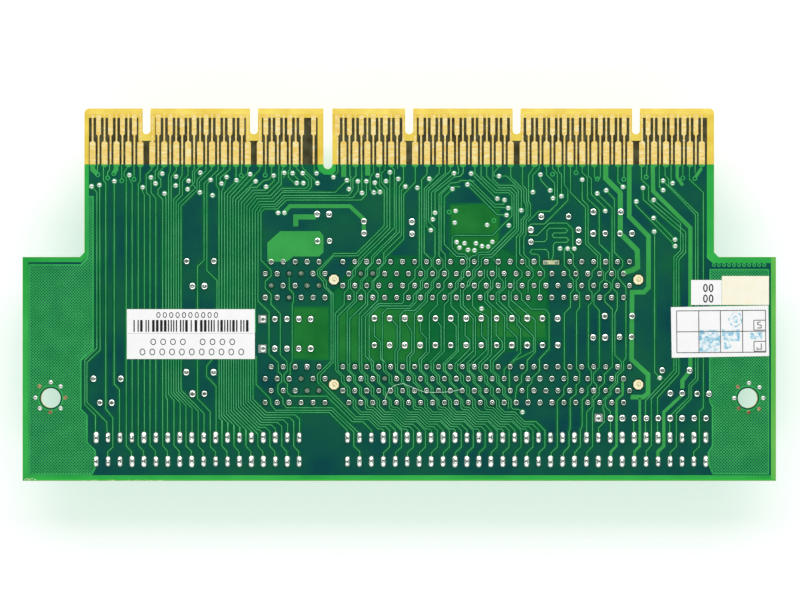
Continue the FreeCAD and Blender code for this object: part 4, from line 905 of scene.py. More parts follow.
# Ring of holes round each mounting hole; some hold solder, some show the copper
SOLDERED_ROUND_MOUNT = (
    (-74.1, -18.6), (-72.0, -19.5), (-72.0, -24.2), (-76.4, -24.2), (-77.4, -21.9), (74.4, -18.8),
    (76.6, -19.7), (77.4, -22.0), (71.2, -22.0),
)
OPEN_ROUND_MOUNT = (
    (-71.0, -21.9), (-74.2, -25.0), (-76.5, -19.5), (76.5, -24.3), (74.3, -25.0), (72.2, -24.2),
    (72.0, -19.6),
)
# A row of small rings above the right field
RING_ROW_X, RING_ROW_Y, RING_ROW_STEP, RING_ROW_COUNT = 66.9, 6.3, 1.07, 11
RING_ROW = [(RING_ROW_X + RING_ROW_STEP * step, RING_ROW_Y) for step in range(RING_ROW_COUNT)]
# Profiles as radius and height, and rings as outer and inner radius
HOLE_PLUG = [(0.5, 0.0), (0.48, 0.1), (0.42, 0.19), (0.33, 0.26), (0.21, 0.31), (0.08, 0.33)]
OPEN_HOLE = [(0.44, 0.0), (0.42, 0.08), (0.34, 0.12), (0.24, 0.09), (0.1, 0.07)]
PLUG_LEAN = 0.14
plugs, copper, rings = Shape(), Shape(), Shape()
for x, y in (*FILLED_HOLES, *SOLDERED_ROUND_MOUNT):
    add_lathe(plugs, x, y, BOARD_TOP, HOLE_PLUG, sides=18, lean=any_lean(PLUG_LEAN))
for x, y in OPEN_ROUND_MOUNT:
    add_lathe(copper, x, y, BOARD_TOP, OPEN_HOLE, sides=16)
for places, (outer, inner), top, sides in (
    (RING_ROW, (0.42, 0.18), TRACE_TOP, 16),
    (FILLED_HOLES, (0.6, 0.4), TRACE_TOP, 18),
    (COVERED_HOLES, (0.52, 0.28), POUR_TOP + CLEAR_LIFT, 18),
    (MOUNT_HOLES, (HATCH_CLEARING, 2.45), HATCH_TOP, 48),
):
    for x, y in places:
        add_ring(rings, x, y, outer, inner, ON_PLANE, level(top), sides)
make_piece("hole_plugs", plugs, VIA_SOLDER, smooth=True)
make_piece("bare_copper_holes", copper, BARE_COPPER, smooth=True)
make_piece("hole_rings", rings, MASK_HATCH)

# Flat pads: square ones at the first pins of the networks, and a bare bar with two mounds in the front row
SQUARE_PADS, PAD_HALF = ((-29.1, -5.2), (-29.1, -11.5), (42.4, -26.2)), 0.85
BAR_PAD = (30.6, 6.4, 34.0, 7.3)
BAR_END, BAR_END_INSET = [(0.4, 0.0), (0.36, 0.06), (0.24, 0.11), (0.08, 0.13)], 0.55
pads, bar, bar_ends = Shape(), Shape(), Shape()
for x, y in SQUARE_PADS:
    add_box(pads, x - PAD_HALF, y - PAD_HALF, x + PAD_HALF, y + PAD_HALF, ON_PLANE, level(PAD_TOP))
add_box(bar, *BAR_PAD, ON_PLANE, level(PAD_TOP))
left, low, right, high = BAR_PAD
for x in (left + BAR_END_INSET, right - BAR_END_INSET):
    add_lathe(bar_ends, x, (low + high) / 2, level(PAD_TOP), BAR_END, sides=18)
make_piece("square_pads", pads, VIA_SOLDER)
make_piece("bar_pad", bar, TARNISHED)
make_piece("bar_pad_ends", bar_ends, DULL_SOLDER, smooth=True)

# Edge of the laminate that shows through, narrow along the rear and wider along the right
RIM_WIDTH, SIDE_WIDTH, RIM_SLOPE = 0.3, 0.95, 0.02
RIM_INSET, SIDE_INSET, REAR_INSET, SHOULDER_INSET = 0.3, 0.55, 0.25, 0.1
edge, side, rear = HALF_BOARD - RIM_INSET, HALF_BOARD - SIDE_INSET, REAR_EDGE + REAR_INSET
rim, side_rim = Shape(), Shape()
add_ribbon(rim, [(-edge, rear), (edge, rear)], RIM_WIDTH, level(SKIN_TOP), ON_PLANE, RIM_SLOPE)
side_route = [(side, rear), (side, SHOULDER - SHOULDER_INSET)]
side_top = level(PLANE_TOP - CLEAR_LIFT)
add_ribbon(side_rim, side_route, SIDE_WIDTH, level(SKIN_TOP), side_top, RIM_SLOPE)
make_piece("edge_rim", rim, MASK_RIM)
make_piece("side_rim", side_rim, MASK_SIDE)

# Worn flecks along the rear edge, where the mask has chipped: a crowd at the left corner, then a faint run
# Each group has its count, its left and right ends, its inset from the edge and its half heights
FLECK_GROUPS = (
    (14, (-79.7, -77.3), (0.16, 0.55), (0.06, 0.14)),
    (32, (-67.2, -50.0), (0.07, 0.16), (0.03, 0.06)),
)
FLECK_REACH, FLECK_RAGGED, FLECK_LIFT = (0.1, 0.35), (0.6, 1), 0.006
flecks = Shape()
for count, ends, inset, half_heights in FLECK_GROUPS:
    for _ in range(count):
        x, y = random.uniform(*ends), REAR_EDGE + random.uniform(*inset)
        reach, tall = random.uniform(*FLECK_REACH), random.uniform(*half_heights)
        outline = [
            (x + reach * dx * random.uniform(*FLECK_RAGGED), y + tall * dy * random.uniform(*FLECK_RAGGED))
            for dx, dy in circle(0, 0, 1, sides=9)
        ]
        add_plate(flecks, outline, ON_PLANE, level(PLANE_TOP + FLECK_LIFT))
make_piece("worn_flecks", flecks, CHIPPED)

# Painted shade round each peg, a dark ring where the gap between peg and hole lies in shade, and the mark
# that the mould's gate left on its end
PEG_SHADE_RING = (PEG_HOLE_RADIUS + 0.06, PEG_HOLE_RADIUS - 0.08)
GATE_RING, GATE_SHIFT, GATE_TOP = (0.5, 0.36), 0.1, 0.02
GATE_BAR = (-0.05, -0.45, 0.1, 0.2)
peg_shade_rings, gate_marks = Shape(), Shape()
left, low, right, high = GATE_BAR
for x, y in PEG_PLACES:
    add_ring(peg_shade_rings, x, y, *PEG_SHADE_RING, level(SKIN_TOP), level(PAD_TOP), sides=40)
    add_ring(gate_marks, x + GATE_SHIFT, y + GATE_SHIFT, *GATE_RING, BOARD_TOP, level(GATE_TOP), sides=24)
    add_box(gate_marks, x + left, y + low, x + right, y + high, BOARD_TOP, level(GATE_TOP))
make_piece("peg_painted_shade_rings", peg_shade_rings, MASK_CLEARANCE_AND_SHADE)
make_piece("gate_marks", gate_marks, GATE_MARK)

# Dark rings round the soldered pins: partly the clear rings in the copper, partly painted shade round each
# joint
PIN_CLEARING_AND_SHADE = (0.76, 0.5)
clearings_and_shade = Shape()
for node in ("rear_short_slot_solder_joints", "front_short_slot_solder_joints", "component_solder_joints"):
    for x, y in tips(node):
        add_ring(clearings_and_shade, x, y, *PIN_CLEARING_AND_SHADE, ON_PLANE, level(TRACE_TOP + CLEAR_LIFT), sides=22)
make_piece("pin_clearings_and_painted_shade", clearings_and_shade, MASK_CLEARANCE_AND_SHADE)


# Solder joints: each profile is a mound of solder and the pin's end, as radius and height

LONG_JOINT = [
    (0.62, 0.0), (0.6, 0.08), (0.55, 0.19), (0.48, 0.3), (0.4, 0.39), (0.33, 0.45), (0.28, 0.48),
    (0.26, 0.55), (0.25, 1.02), (0.2, 1.1), (0.08, 1.12),
]
LONG_JOINT_SIZE, LONG_JOINT_LENGTH = 0.97, 1.3
ROUND_JOINT = [
    (0.65, 0.0), (0.61, 0.018), (0.55, 0.045), (0.48, 0.078), (0.42, 0.112), (0.38, 0.17), (0.35, 0.28),
    (0.32, 0.5), (0.29, 0.86), (0.23, 0.95), (0.08, 0.98),
]
WIDE_JOINT = [
    (0.76, 0.0), (0.7, 0.028), (0.62, 0.066), (0.53, 0.108), (0.45, 0.15), (0.38, 0.2), (0.33, 0.3),
    (0.3, 0.5), (0.27, 0.9), (0.21, 0.98), (0.08, 1.0),
]
LEAN_JOINT = [(0.5, 0.0), (0.47, 0.05), (0.3, 0.07), (0.25, 0.08), (0.24, 0.8), (0.18, 0.88), (0.08, 0.9)]
# Pins of the short slots with little solder
LEAN_PLACES = (
    (-23.4, 4.46), (-20.9, 4.46), (-27.3, 1.92), (-19.6, 1.92), (-17.1, 1.92), (-23.4, -0.62), (-8.2, 4.46),
    (-5.7, 4.46), (-20.9, -17.87), (-3.3, -17.87), (-19.6, -20.41), (-17.0, -20.41),
)
SAME_PLACE = 0.5


def add_joint(shape, x, y, profile, size=1.0, length=0.0, uneven=0.08, lean=0.22):
    """One soldered pin, a little uneven from pin to pin."""
    spread = size * (1 + random.uniform(-uneven, uneven))
    height = 1 + random.uniform(-uneven, uneven / 2)
    turned = [(radius * spread, rise * height) for radius, rise in profile]
    add_lathe(
        shape, x, y, BOARD_TOP, turned, sides=24, length=length * spread, lean=any_lean(lean),
    )


# The long slot's two groups of pins sit a little to the right of their holes' middles
LONG_SLOT_GAP_X, LEFT_SHIFT, RIGHT_SHIFT = -16.0, 0.12, 0.22
joints, lean_joints = Shape(), Shape()
node = "long_slot_solder_joints"
for x, y in tips(node):
    x += LEFT_SHIFT if x < LONG_SLOT_GAP_X else RIGHT_SHIFT
    add_joint(joints, x, y, LONG_JOINT, LONG_JOINT_SIZE, LONG_JOINT_LENGTH)
make_piece("long_slot_soldering", joints, SOLDER, smooth=True, replaces=(node,))
left, low, right, high = BAR_PAD
for place in ("rear", "front"):
    node = f"{place}_short_slot_solder_joints"
    joints = Shape()
    for x, y in tips(node):
        if left < x < right and low < y < high:
            continue
        if any(math.dist((x, y), spot) < SAME_PLACE for spot in LEAN_PLACES):
            add_joint(lean_joints, x, y, LEAN_JOINT)
        else:
            add_joint(joints, x, y, ROUND_JOINT)
    make_piece(f"{place}_short_slot_soldering", joints, SOLDER, smooth=True, replaces=(node,))
make_piece("lean_soldering", lean_joints, DULL_SOLDER, smooth=True)
joints = Shape()
node = "component_solder_joints"
for x, y in tips(node):
    add_joint(joints, x, y, WIDE_JOINT)
make_piece("component_soldering", joints, SOLDER, smooth=True, replaces=(node,))


# Hidden side: small holes, pads and plain lines on the lower face

UNDER_PLUG = [(radius, -rise) for radius, rise in HOLE_PLUG]
UNDER_PAD = (0.85, 0.3)
# Plain lines below the short slots: top, bend, foot, and the side to which they bend
UNDER_FIRST, UNDER_COUNT = -14.0, 26
UNDER_RUNS = ((-0.4, -13.0, -15.6, 1), (-22.7, -24.4, -28.7, -1))
under_lines, under_pads, under_plugs = Shape(), Shape(), Shape()
free_lands = [finger_x(step / 2) for step in range(2 * FINGER_STEPS - 1)]
under_routes = []
for x, y in sorted(FILLED_HOLES):
    add_lathe(under_plugs, x, y, BOARD_BOTTOM, UNDER_PLUG, sides=14)
    land = min(free_lands, key=lambda place: abs(place - x))
    bend = y + abs(land - x)
    near = abs(land - x) < PITCH and bend < MASK_EDGE
    if near and y > SHOULDER and abs(land - DEEP_NOTCH_X) > PITCH:
        free_lands.remove(land)
        under_routes.append([(land, MASK_EDGE), *([(land, bend)] if bend > y else []), (x, y)])
for step in range(UNDER_COUNT):
    x = UNDER_FIRST + PITCH * step
    for top, bend, foot, side in UNDER_RUNS:
        end = x + side * PITCH / 2
        under_routes.append([(x, top), (x, bend), (end, bend - PITCH / 2), (end, foot)])
for route in under_routes:
    add_ribbon(under_lines, route, LINE_WIDTH, level(PLANE_TOP, -1), level(TRACE_TOP, -1))
for x, y in tips("component_solder_joints"):
    add_ring(under_pads, x, y, *UNDER_PAD, level(PLANE_TOP, -1), level(PAD_TOP, -1), sides=24)
make_piece("under_lines", under_lines, MASK_TRACE)
make_piece("under_pads", under_pads, VIA_SOLDER)
make_piece("under_hole_plugs", under_plugs, VIA_SOLDER, smooth=True)


# Hidden side: connectors and components

# Bent contact: distance from the slot's middle and height, and half its thickness
SPRING = [(1.98, 9.0), (1.98, 6.8), (1.25, 4.5), (0.76, 3.6), (0.7, 3.2), (0.95, 2.4), (1.4, 1.3)]
SPRING_HALF = 0.1
# Angle of the last ring of a rounded body
POLE = 89


def add_spring(shape, left, right, middle, side):
    """One bent contact strip beside the slot's middle."""
    points = []
    corners = ((left, SPRING_HALF), (right, SPRING_HALF), (right, -SPRING_HALF), (left, -SPRING_HALF))
    for (out, height), step in zip(SPRING, sideways(SPRING)):
        for x, half in corners:
            points.append((x, middle + side * (out + step.x * half), height + step.y * half))
    total = len(points)
    faces = [[0, 1, 2, 3], [total - 1, total - 2, total - 3, total - 4]]
    faces += turned_over(ring_faces(len(SPRING), 4))
    shape.add(points, [face[::-1] for face in faces] if side < 0 else faces)


def middle_of(low, high):
    return [(a + b) / 2 for a, b in zip(low, high)]


def add_pillow(shape, low, high, square, rings=12, sides=32):
    """A closed body with rounded edges that fills a box; a small value of square keeps it boxy."""
    def bulge(value):
        return math.copysign(abs(value) ** square, value)

    middle = middle_of(low, high)
    half = [(b - a) / 2 for a, b in zip(low, high)]
    points = []
    for ring in range(rings + 1):
        rise = math.radians(-POLE + 2 * POLE * ring / rings)
        reach = bulge(math.cos(rise))
        for step in range(sides):
            turn = 2 * math.pi * (step + 0.5) / sides
            points.append((
                middle[0] + half[0] * reach * bulge(math.cos(turn)),
                middle[1] + half[1] * reach * bulge(math.sin(turn)),
                middle[2] + half[2] * bulge(math.sin(rise)),
            ))
    faces = ring_faces(rings + 1, sides)
    faces += [list(range(sides))[::-1], [rings * sides + step for step in range(sides)]]
    shape.add(points, faces)


def add_spindle(shape, middle, stations, sides=18):
    """A body turned about a line along +Y; each station gives its place along the line and its radius."""
    points = []
    for along, radius in stations:
        rim = circle(0, 0, radius, sides)
        points += [(middle[0] + dx, middle[1] + along, middle[2] + dz) for dx, dz in rim]
    faces = turned_over(ring_faces(len(stations), sides))
    last = (len(stations) - 1) * sides
    faces += [list(range(sides)), [last + step for step in range(sides)][::-1]]
    shape.add(points, faces)


# Slots: bent contacts, and ribs and collars moulded on the housings; collars have foot, top and overhang
RIB_STEP, RIB_HALF, RIB_DEPTH, RIB_BITE = 2 * PITCH, 0.6, 0.2, 0.01
RIB_FOOT, RIB_TOP = 2.2, 9.8
COLLARS = ((0.7, 1.5, 0.15), (10.3, 11.15, 0.25))
for slot, plastic, plastic_slot in (
    ("long_slot", BLACK_PLASTIC, "black_plastic"),
    ("rear_short_slot", PEG_IVORY, "ivory_plastic"),
    ("front_short_slot", PEG_IVORY, "ivory_plastic"),
):
    springs, ribs = Shape(), Shape()
    contacts = f"{slot}_contacts"
    slot_middle = sum(corner.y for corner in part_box(contacts)) / 2 / MM
    for low, high in loose_parts(contacts):
        side = 1 if low[1] + high[1] > 2 * slot_middle else -1
        add_spring(springs, low[0], high[0], slot_middle, side)
    make_piece(f"{slot}_springs", springs, CONTACT, replaces=(contacts,))
    low, high = (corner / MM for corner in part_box(f"{slot}_housing"))
    body = rectangle(low.x, low.y, high.x, high.y)
    for foot, top, proud in COLLARS:
        outer = rectangle(low.x - proud, low.y - proud, high.x + proud, high.y + proud)
        add_plate(ribs, outer, foot, top, [body])
    for step in range(int((high.x - low.x) / RIB_STEP)):
        x = low.x + RIB_STEP * (step + 0.5)
        for rear, front in ((low.y - RIB_DEPTH, low.y + RIB_BITE), (high.y - RIB_BITE, high.y + RIB_DEPTH)):
            add_box(ribs, x - RIB_HALF, rear, x + RIB_HALF, front, RIB_FOOT, RIB_TOP)
    make_piece(f"{slot}_ribs", ribs, plastic)

# Cans: a shrunk sleeve with a rolled foot and a pale stripe, and a scored aluminium end
CAN_SLEEVE = [
    (2.1, 0.0), (2.42, -0.25), (2.45, -0.6), (2.45, -1.3), (2.28, -1.55), (2.45, -1.8), (2.45, -6.5),
    (2.38, -6.75), (2.2, -6.92), (1.95, -6.95), (1.9, -6.85),
]
CAN_END = [(1.9, -6.8), (1.88, -6.86), (0.1, -6.88)]
SCORE_HALF, SCORE_WIDTH, SCORE_SLOPE = 1.3, 0.14, 0.02
SCORE_FOOT, SCORE_TOP = 6.86, 6.9
STRIPE_IN, STRIPE_OUT, STRIPE_FOOT, STRIPE_TOP = 2.44, 2.47, 2.0, 6.4
STRIPE_TURNS = [math.radians(turn) for turn in range(-30, 31, 6)]
STRIPE = [(STRIPE_IN, turn) for turn in STRIPE_TURNS] + [(STRIPE_OUT, turn) for turn in STRIPE_TURNS[::-1]]
sleeves, ends, scores, stripes = Shape(), Shape(), Shape(), Shape()
for low, high in loose_parts("can_capacitors"):
    x, y, _ = middle_of(low, high)
    add_lathe(sleeves, x, y, BOARD_BOTTOM, CAN_SLEEVE, sides=32)
    add_lathe(ends, x, y, BOARD_BOTTOM, CAN_END, sides=32)
    for across, along in ((SCORE_HALF, 0), (0, SCORE_HALF)):
        route = [(x - across, y - along), (x + across, y + along)]
        add_ribbon(scores, route, SCORE_WIDTH, level(SCORE_FOOT, -1), level(SCORE_TOP, -1), SCORE_SLOPE)
    arc = [(x + radius * math.cos(turn), y + radius * math.sin(turn)) for radius, turn in STRIPE]
    add_plate(stripes, arc[::-1], level(STRIPE_FOOT, -1), level(STRIPE_TOP, -1))
make_piece("can_sleeves", sleeves, SLEEVE, smooth=True, replaces=("can_capacitors",))
make_piece("can_ends", ends, ALUMINIUM, smooth=True)
make_piece("can_scores", scores, PRINT_GREY)
make_piece("can_stripes", stripes, PRINT_PALE)

# Dipped bodies, with a pale dot at the first pin of each network and of the chip
for node, piece, material, slot, square in (
    ("ceramic_capacitors", "ceramic_bodies", CERAMIC, "ceramic_dip", 0.5),
    ("ten_pin_network", "ten_pin_body", RESIN, "network_resin", 0.16),
    ("front_five_pin_network", "front_five_pin_body", RESIN, "network_resin", 0.2),
    ("rear_five_pin_network", "rear_five_pin_body", RESIN, "network_resin", 0.2),
):
    bodies = Shape()
    for low, high in loose_parts(node):
        add_pillow(bodies, low, high, square)
    make_piece(piece, bodies, material, smooth=True, replaces=(node,))
DOT, DOT_INSET_X, DOT_INSET_Y = [(0.45, 0.05), (0.45, -0.01), (0.4, -0.02)], 1.4, 1.3
dots = Shape()
for node in ("ten_pin_network", "front_five_pin_network", "rear_five_pin_network", "clock_buffer_chip"):
    low, high = (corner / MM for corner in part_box(node))
    inset = min(DOT_INSET_Y, (high.y - low.y) / 2)
    add_lathe(dots, low.x + DOT_INSET_X, low.y + inset, low.z, DOT, sides=20)
make_piece("first_pin_dots", dots, PRINT_PALE)

# Resistors: turned bodies with colour bands, given by place along the body and radius
RESISTOR_BODY = (
    (-1.7, 0.3), (-1.66, 0.6), (-1.5, 0.8), (-1.2, 0.84), (-0.95, 0.76), (0.95, 0.76), (1.2, 0.84),
    (1.5, 0.8), (1.66, 0.6), (1.7, 0.3),
)
COLOUR_BAND = ((-0.13, 0.75), (-0.12, 0.775), (0.12, 0.775), (0.13, 0.75))
RESISTOR_BANDS = ((-0.7, PRINT_BROWN), (-0.3, PRINT_BLACK), (0.1, PRINT_RED), (0.65, GOLD))
bodies = Shape()
node = "pull_up_resistors"
places = [middle_of(low, high) for low, high in loose_parts(node)]
for place in places:
    add_spindle(bodies, place, RESISTOR_BODY)
make_piece("resistor_bodies", bodies, LACQUER, smooth=True, replaces=(node,))
for number, (middle, material) in enumerate(RESISTOR_BANDS, 1):
    bands = Shape()
    for place in places:
        add_spindle(bands, place, [(middle + along, radius) for along, radius in COLOUR_BAND])
    make_piece(f"resistor_bands_{number}", bands, material, smooth=True)


# CAD nodes that keep their shape and take a finish

FINISHES = {
    "edge_lands_solder_side": GOLD, "edge_lands_component_side": GOLD, "long_slot_housing": BLACK_PLASTIC,
    "rear_short_slot_housing": PEG_IVORY, "front_short_slot_housing": PEG_IVORY,
    "pull_up_resistor_leads": TINNED, "clock_buffer_chip": RESIN, "clock_buffer_leads": TINNED,
    "bar_label": LABEL_WHITE, "number_label": LABEL_WHITE, "cream_label": LABEL_CREAM,
    "table_label": LABEL_WHITE, "board": BARE_LAMINATE,
}
for node, material in FINISHES.items():
    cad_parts[node].data.materials.clear()
    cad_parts[node].data.materials.append(material)


# Print on the labels

PRINT_LIFT, PRINT_SLOPE = 0.012, 0.01


def label_top(node):
    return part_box(node)[1].z / MM


def add_stroke(shape, route, width, top):
    """One printed line on a label."""
    add_ribbon(shape, route, width, top, top + PRINT_LIFT, PRINT_SLOPE)


def add_zero(shape, x, y, across, along, stroke, top):
    """A plain zero, given by half its width and half its height."""
    outer, inner = (
        [(x + dx * (across - inset), y + dy * (along - inset)) for dx, dy in circle(0, 0, 1)]
        for inset in (0, stroke)
    )
    add_plate(shape, outer, top, top + PRINT_LIFT, [inner])


# Bars of mixed widths, with no meaning, and a rule below them
BAR_AREA, BAR_MARGIN = (-56.5, -7.9, -32.0, -5.4), 0.5
BAR_WIDTHS, BAR_SPACES = (0.26, 0.3, 0.55), (0.28, 0.32, 0.6)
RULE, RULE_WIDTH = [(-57.6, -8.25), (-31.0, -8.25)], 0.1
bars, rule, zeros = Shape(), Shape(), Shape()
left, low, right, high = BAR_AREA
top = label_top("bar_label")
while left < right - BAR_MARGIN:
    width = random.choice(BAR_WIDTHS)
    add_box(bars, left, low, left + width, high, top, top + PRINT_LIFT)
    left += width + random.choice(BAR_SPACES)
make_piece("label_bars", bars, PRINT_BLACK)
add_stroke(rule, RULE, RULE_WIDTH, top)
make_piece("label_rule", rule, PRINT_PALE)

# Rows of plain zeros on the bar label: first place, height, step, count and half sizes
ZERO_STROKE = 0.17
ZERO_ROWS = (
    (-51.2, -4.35, 1.36, 10, 0.44, 0.62), (-52.3, -10.05, 2.1, 4, 0.6, 0.68),
    (-41.8, -10.05, 2.1, 4, 0.6, 0.68), (-54.6, -12.2, 2.1, 11, 0.6, 0.72),
)
for start, y, step, count, across, along in ZERO_ROWS:
    for place in range(count):
        add_zero(zeros, start + step * place, y, across, along, ZERO_STROKE, top)

# Frame and cells of the table label, and a plain figure in each small box, turned with the label
TABLE_TURN = math.radians(0.4)
TABLE_MIDDLE = (68.45, -7.85)
TABLE_HALF = (9.45, 4.45)
TABLE_COLUMNS = (-4.75, -0.15, 4.55)
TABLE_BOXES = ((6.95, 0.25, 9.35, 2.35), (6.95, -4.25, 9.35, -2.15))
TABLE_LINE_WIDTH, FIGURE_WIDTH = 0.2, 0.22
FIGURE_FIVE = ((-0.4, -0.6), (0.4, -0.6), (0.4, 0.0), (-0.1, 0.05), (-0.4, 0.25), (-0.3, 0.6), (0.3, 0.65))
FIGURE_SEVEN = ((0.4, 0.6), (0.4, -0.6), (-0.5, -0.6), (-0.5, -0.2))
FIGURE_PLACES = ((FIGURE_FIVE, 8.1, 1.3), (FIGURE_SEVEN, 8.1, -3.2))


def on_table(x, y):
    """A place on the table label, from its middle, turned as the label is."""
    cos, sin = math.cos(TABLE_TURN), math.sin(TABLE_TURN)
    return TABLE_MIDDLE[0] + x * cos - y * sin, TABLE_MIDDLE[1] + x * sin + y * cos


table, figures, stamp = Shape(), Shape(), Shape()
top = label_top("table_label")
wide, tall = TABLE_HALF
table_lines = [((-wide, y), (wide, y)) for y in (-tall, 0, tall)]
table_lines += [((x, -tall), (x, tall)) for x in (-wide, *TABLE_COLUMNS, wide)]
for left, low, right, high in TABLE_BOXES:
    table_lines += [((left, low), (right, low)), ((left, high), (right, high)), ((left, low), (left, high))]
for start, end in table_lines:
    add_stroke(table, [on_table(*start), on_table(*end)], TABLE_LINE_WIDTH, top)
for figure, across, along in FIGURE_PLACES:
    add_stroke(figures, [on_table(across + x, along + y) for x, y in figure], FIGURE_WIDTH, top)
make_piece("table_lines", table, PRINT_GREY)

# Worn ink of a stamp: an oval ring with a core, and patches in the cells
STAMP_OVAL, STAMP_CORE, STAMP_RING = (71.5, -5.3, 1.45, 1.55), (0.7, 0.75), 0.78
STAMP_PATCHES = (
    (63.8, -12.15, 68.3, -7.5), (68.6, -9.9, 72.4, -7.4),
    (69.0, -11.6, 70.6, -9.9), (74.6, -9.5, 77.2, -8.0),
)
STAMP_LIFT, STAMP_WAVE, LARGEST_PHASE = 0.006, 0.12, 6
WAVES_ACROSS, WAVES_ALONG = 3, 2


def blot(x, y, across, along, sides=40):
    """A closed outline with a wavy rim."""
    phase = random.uniform(0, LARGEST_PHASE)
    turns = [2 * math.pi * step / sides for step in range(sides)]
    return [
        (x + across * math.cos(turn) * (1 + STAMP_WAVE * math.sin(WAVES_ACROSS * turn + phase)),
         y + along * math.sin(turn) * (1 + STAMP_WAVE * math.cos(WAVES_ALONG * turn + phase)))
        for turn in turns
    ]


x, y, across, along = STAMP_OVAL
outer = blot(x, y, across, along)
inner = [(x + (a - x) * STAMP_RING, y + (b - y) * STAMP_RING) for a, b in outer]
add_plate(stamp, outer, top, top + STAMP_LIFT, [inner])
add_plate(stamp, blot(x, y, *STAMP_CORE), top, top + STAMP_LIFT)
for patch in STAMP_PATCHES:
    add_box(stamp, *patch, top, top + STAMP_LIFT)
make_piece("stamp_ink", stamp, PRINT_BLUE)
make_piece("table_figures", figures, PRINT_GREY)

# Plain zeros in two rows on the number label
NUMBER_COLUMNS, NUMBER_ROWS = (65.1, 66.3), (1.4, -0.85)
NUMBER_ACROSS, NUMBER_ALONG, NUMBER_STROKE = 0.5, 0.88, 0.27
for x in NUMBER_COLUMNS:
    for y in NUMBER_ROWS:
        add_zero(zeros, x, y, NUMBER_ACROSS, NUMBER_ALONG, NUMBER_STROKE, label_top("number_label"))
make_piece("label_zeros", zeros, PRINT_BLACK)

# A pale fibre left on the rear slot's pins
FIBRE = [
    (-3.0, -22.3), (-2.6, -21.0), (-2.0, -20.0), (-0.8, -19.2), (0.8, -18.9), (2.8, -19.7), (5.0, -20.6),
    (7.0, -20.8), (9.0, -20.8), (11.0, -20.6), (13.0, -20.2),
]
FIBRE_WIDTH, FIBRE_SLOPE, FIBRE_FOOT, FIBRE_TOP = 0.1, 0.02, 0.4, 0.46
fibre = Shape()
add_ribbon(fibre, FIBRE, FIBRE_WIDTH, level(FIBRE_FOOT), level(FIBRE_TOP), FIBRE_SLOPE)
make_piece("loose_fibre", fibre, PALE_FIBRE)


# Floor, light and camera; floor and lamps in metres, light in shares of white

FLOOR_HALF = 3.0
# The floor glows: white far out, and near the card a painted mint tint that colours its shadow green and
# lights the card from below; its base colour is set so that, in full light, base and glow add up to white
FLOOR_SHADE, FLOOR_PAINTED_SHADOW_TINT, FLOOR_FAR = (0.72, 0.48, 0.64, 1), (0.4, 0.65, 0.49, 1), (0.95, 0.95, 0.95, 1)
FLOOR_ROUGH, FLOOR_RAMP = 0.9, (0.4, 0.8)
ROOM_LIGHT, WALL, OVERHEAD, ROOM_RAMP = 0.5, (1, 1, 1, 1), (0.2, 0.2, 0.2, 1), (0.6, 0.9)
LAMP_LENGTH, LAMP_WIDTH, LAMP_REACH, LAMP_HEIGHT = 1.1, 0.36, 0.5, 0.5
FAR_WATTS, NEAR_WATTS = 4.3, 2.1
LENS, SENSOR, FRAME_WIDTH, FRAME_MIDDLE = 200.0, 36.0, 170.1, (0.16, -1.15)
CAMERA_REACH = 10


def add_ramp(nodes, places, colours):
    """A ramp between two colours, with the place of each."""
    ramp = nodes.new("ShaderNodeValToRGB")
    for step, place, colour in zip(ramp.color_ramp.elements, places, colours):
        step.position, step.color = place, colour
    return ramp


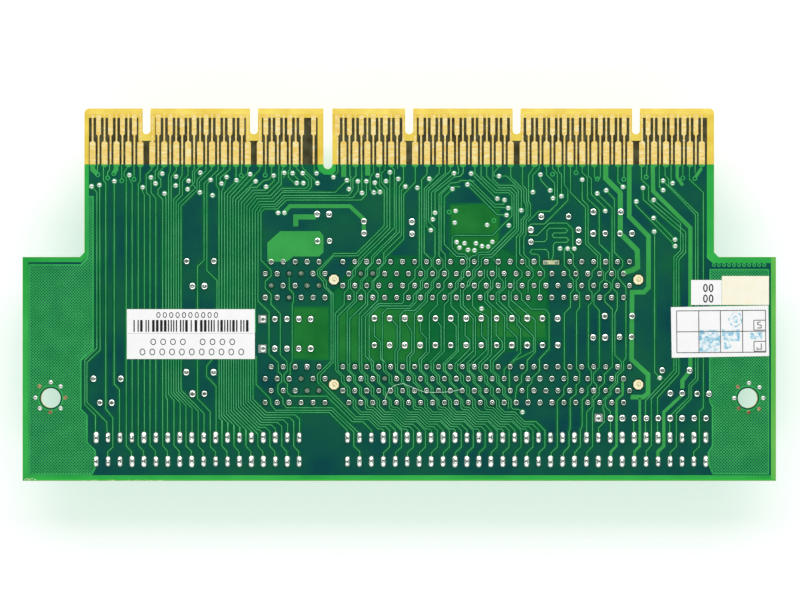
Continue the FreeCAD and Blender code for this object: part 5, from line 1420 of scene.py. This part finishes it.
def make_floor():
    """A pale floor that glows white far out and with a painted mint tint near the card, so its cast shadow
    shows a painted green.
    """
    mesh = bpy.data.meshes.new("floor")
    corners = rectangle(-FLOOR_HALF, -FLOOR_HALF, FLOOR_HALF, FLOOR_HALF)
    mesh.from_pydata([(x, y, 0) for x, y in corners], [], [[0, 1, 2, 3]])
    material = bpy.data.materials.new("floor")
    material.use_nodes = True
    nodes, links = material.node_tree.nodes, material.node_tree.links
    shader = nodes["Principled BSDF"]
    shader.inputs["Base Color"].default_value = FLOOR_SHADE
    shader.inputs["Roughness"].default_value = FLOOR_ROUGH
    shader.inputs["Specular IOR Level"].default_value = 0.0
    shader.inputs["Emission Strength"].default_value = 1.0
    where = nodes.new("ShaderNodeTexCoord")
    nearness = nodes.new("ShaderNodeTexGradient")
    nearness.gradient_type = "SPHERICAL"
    links.new(where.outputs["Object"], nearness.inputs["Vector"])
    # Glow colour: the painted mint shadow tint near the middle, white far out
    ramp = add_ramp(nodes, FLOOR_RAMP, (FLOOR_FAR, FLOOR_PAINTED_SHADOW_TINT))
    links.new(nearness.outputs["Fac"], ramp.inputs["Fac"])
    links.new(ramp.outputs["Color"], shader.inputs["Emission Color"])
    mesh.materials.append(material)
    floor = bpy.data.objects.new("floor", mesh)
    bpy.context.scene.collection.objects.link(floor)


def make_strip(name, y, power):
    """A long soft lamp beside the card, as in a document scanner, aimed at its middle."""
    light = bpy.data.lights.new(name, "AREA")
    light.shape = "RECTANGLE"
    light.size, light.size_y = LAMP_LENGTH, LAMP_WIDTH
    light.energy = power
    lamp = bpy.data.objects.new(name, light)
    lamp.location = (0, y, LAMP_HEIGHT)
    lamp.rotation_euler = (Vector((0, 0, 0)) - lamp.location).to_track_quat("-Z", "Y").to_euler()
    bpy.context.scene.collection.objects.link(lamp)


def make_world():
    """A soft room, dim straight overhead and bright towards its walls."""
    world = bpy.data.worlds.new("soft_room")
    world.use_nodes = True
    nodes, links = world.node_tree.nodes, world.node_tree.links
    where = nodes.new("ShaderNodeTexCoord")
    parts = nodes.new("ShaderNodeSeparateXYZ")
    links.new(where.outputs["Generated"], parts.inputs["Vector"])
    ramp = add_ramp(nodes, ROOM_RAMP, (WALL, OVERHEAD))
    links.new(parts.outputs["Z"], ramp.inputs["Fac"])
    background = nodes["Background"]
    links.new(ramp.outputs["Color"], background.inputs["Color"])
    background.inputs["Strength"].default_value = ROOM_LIGHT
    bpy.context.scene.world = world


def make_camera():
    """A long lens straight above the card, as the photograph was taken."""
    data = bpy.data.cameras.new("camera")
    data.lens, data.sensor_width = LENS, SENSOR
    data.clip_end = CAMERA_REACH
    camera = bpy.data.objects.new("camera", data)
    camera.location = Vector((*FRAME_MIDDLE, BOARD_TOP + FRAME_WIDTH / SENSOR * LENS)) * MM
    bpy.context.scene.collection.objects.link(camera)
    bpy.context.scene.camera = camera


make_floor()
make_strip("far_strip", LAMP_REACH, FAR_WATTS)
make_strip("near_strip", -LAMP_REACH, NEAR_WATTS)
make_world()
make_camera()
bpy.context.scene.view_settings.view_transform = "Standard"
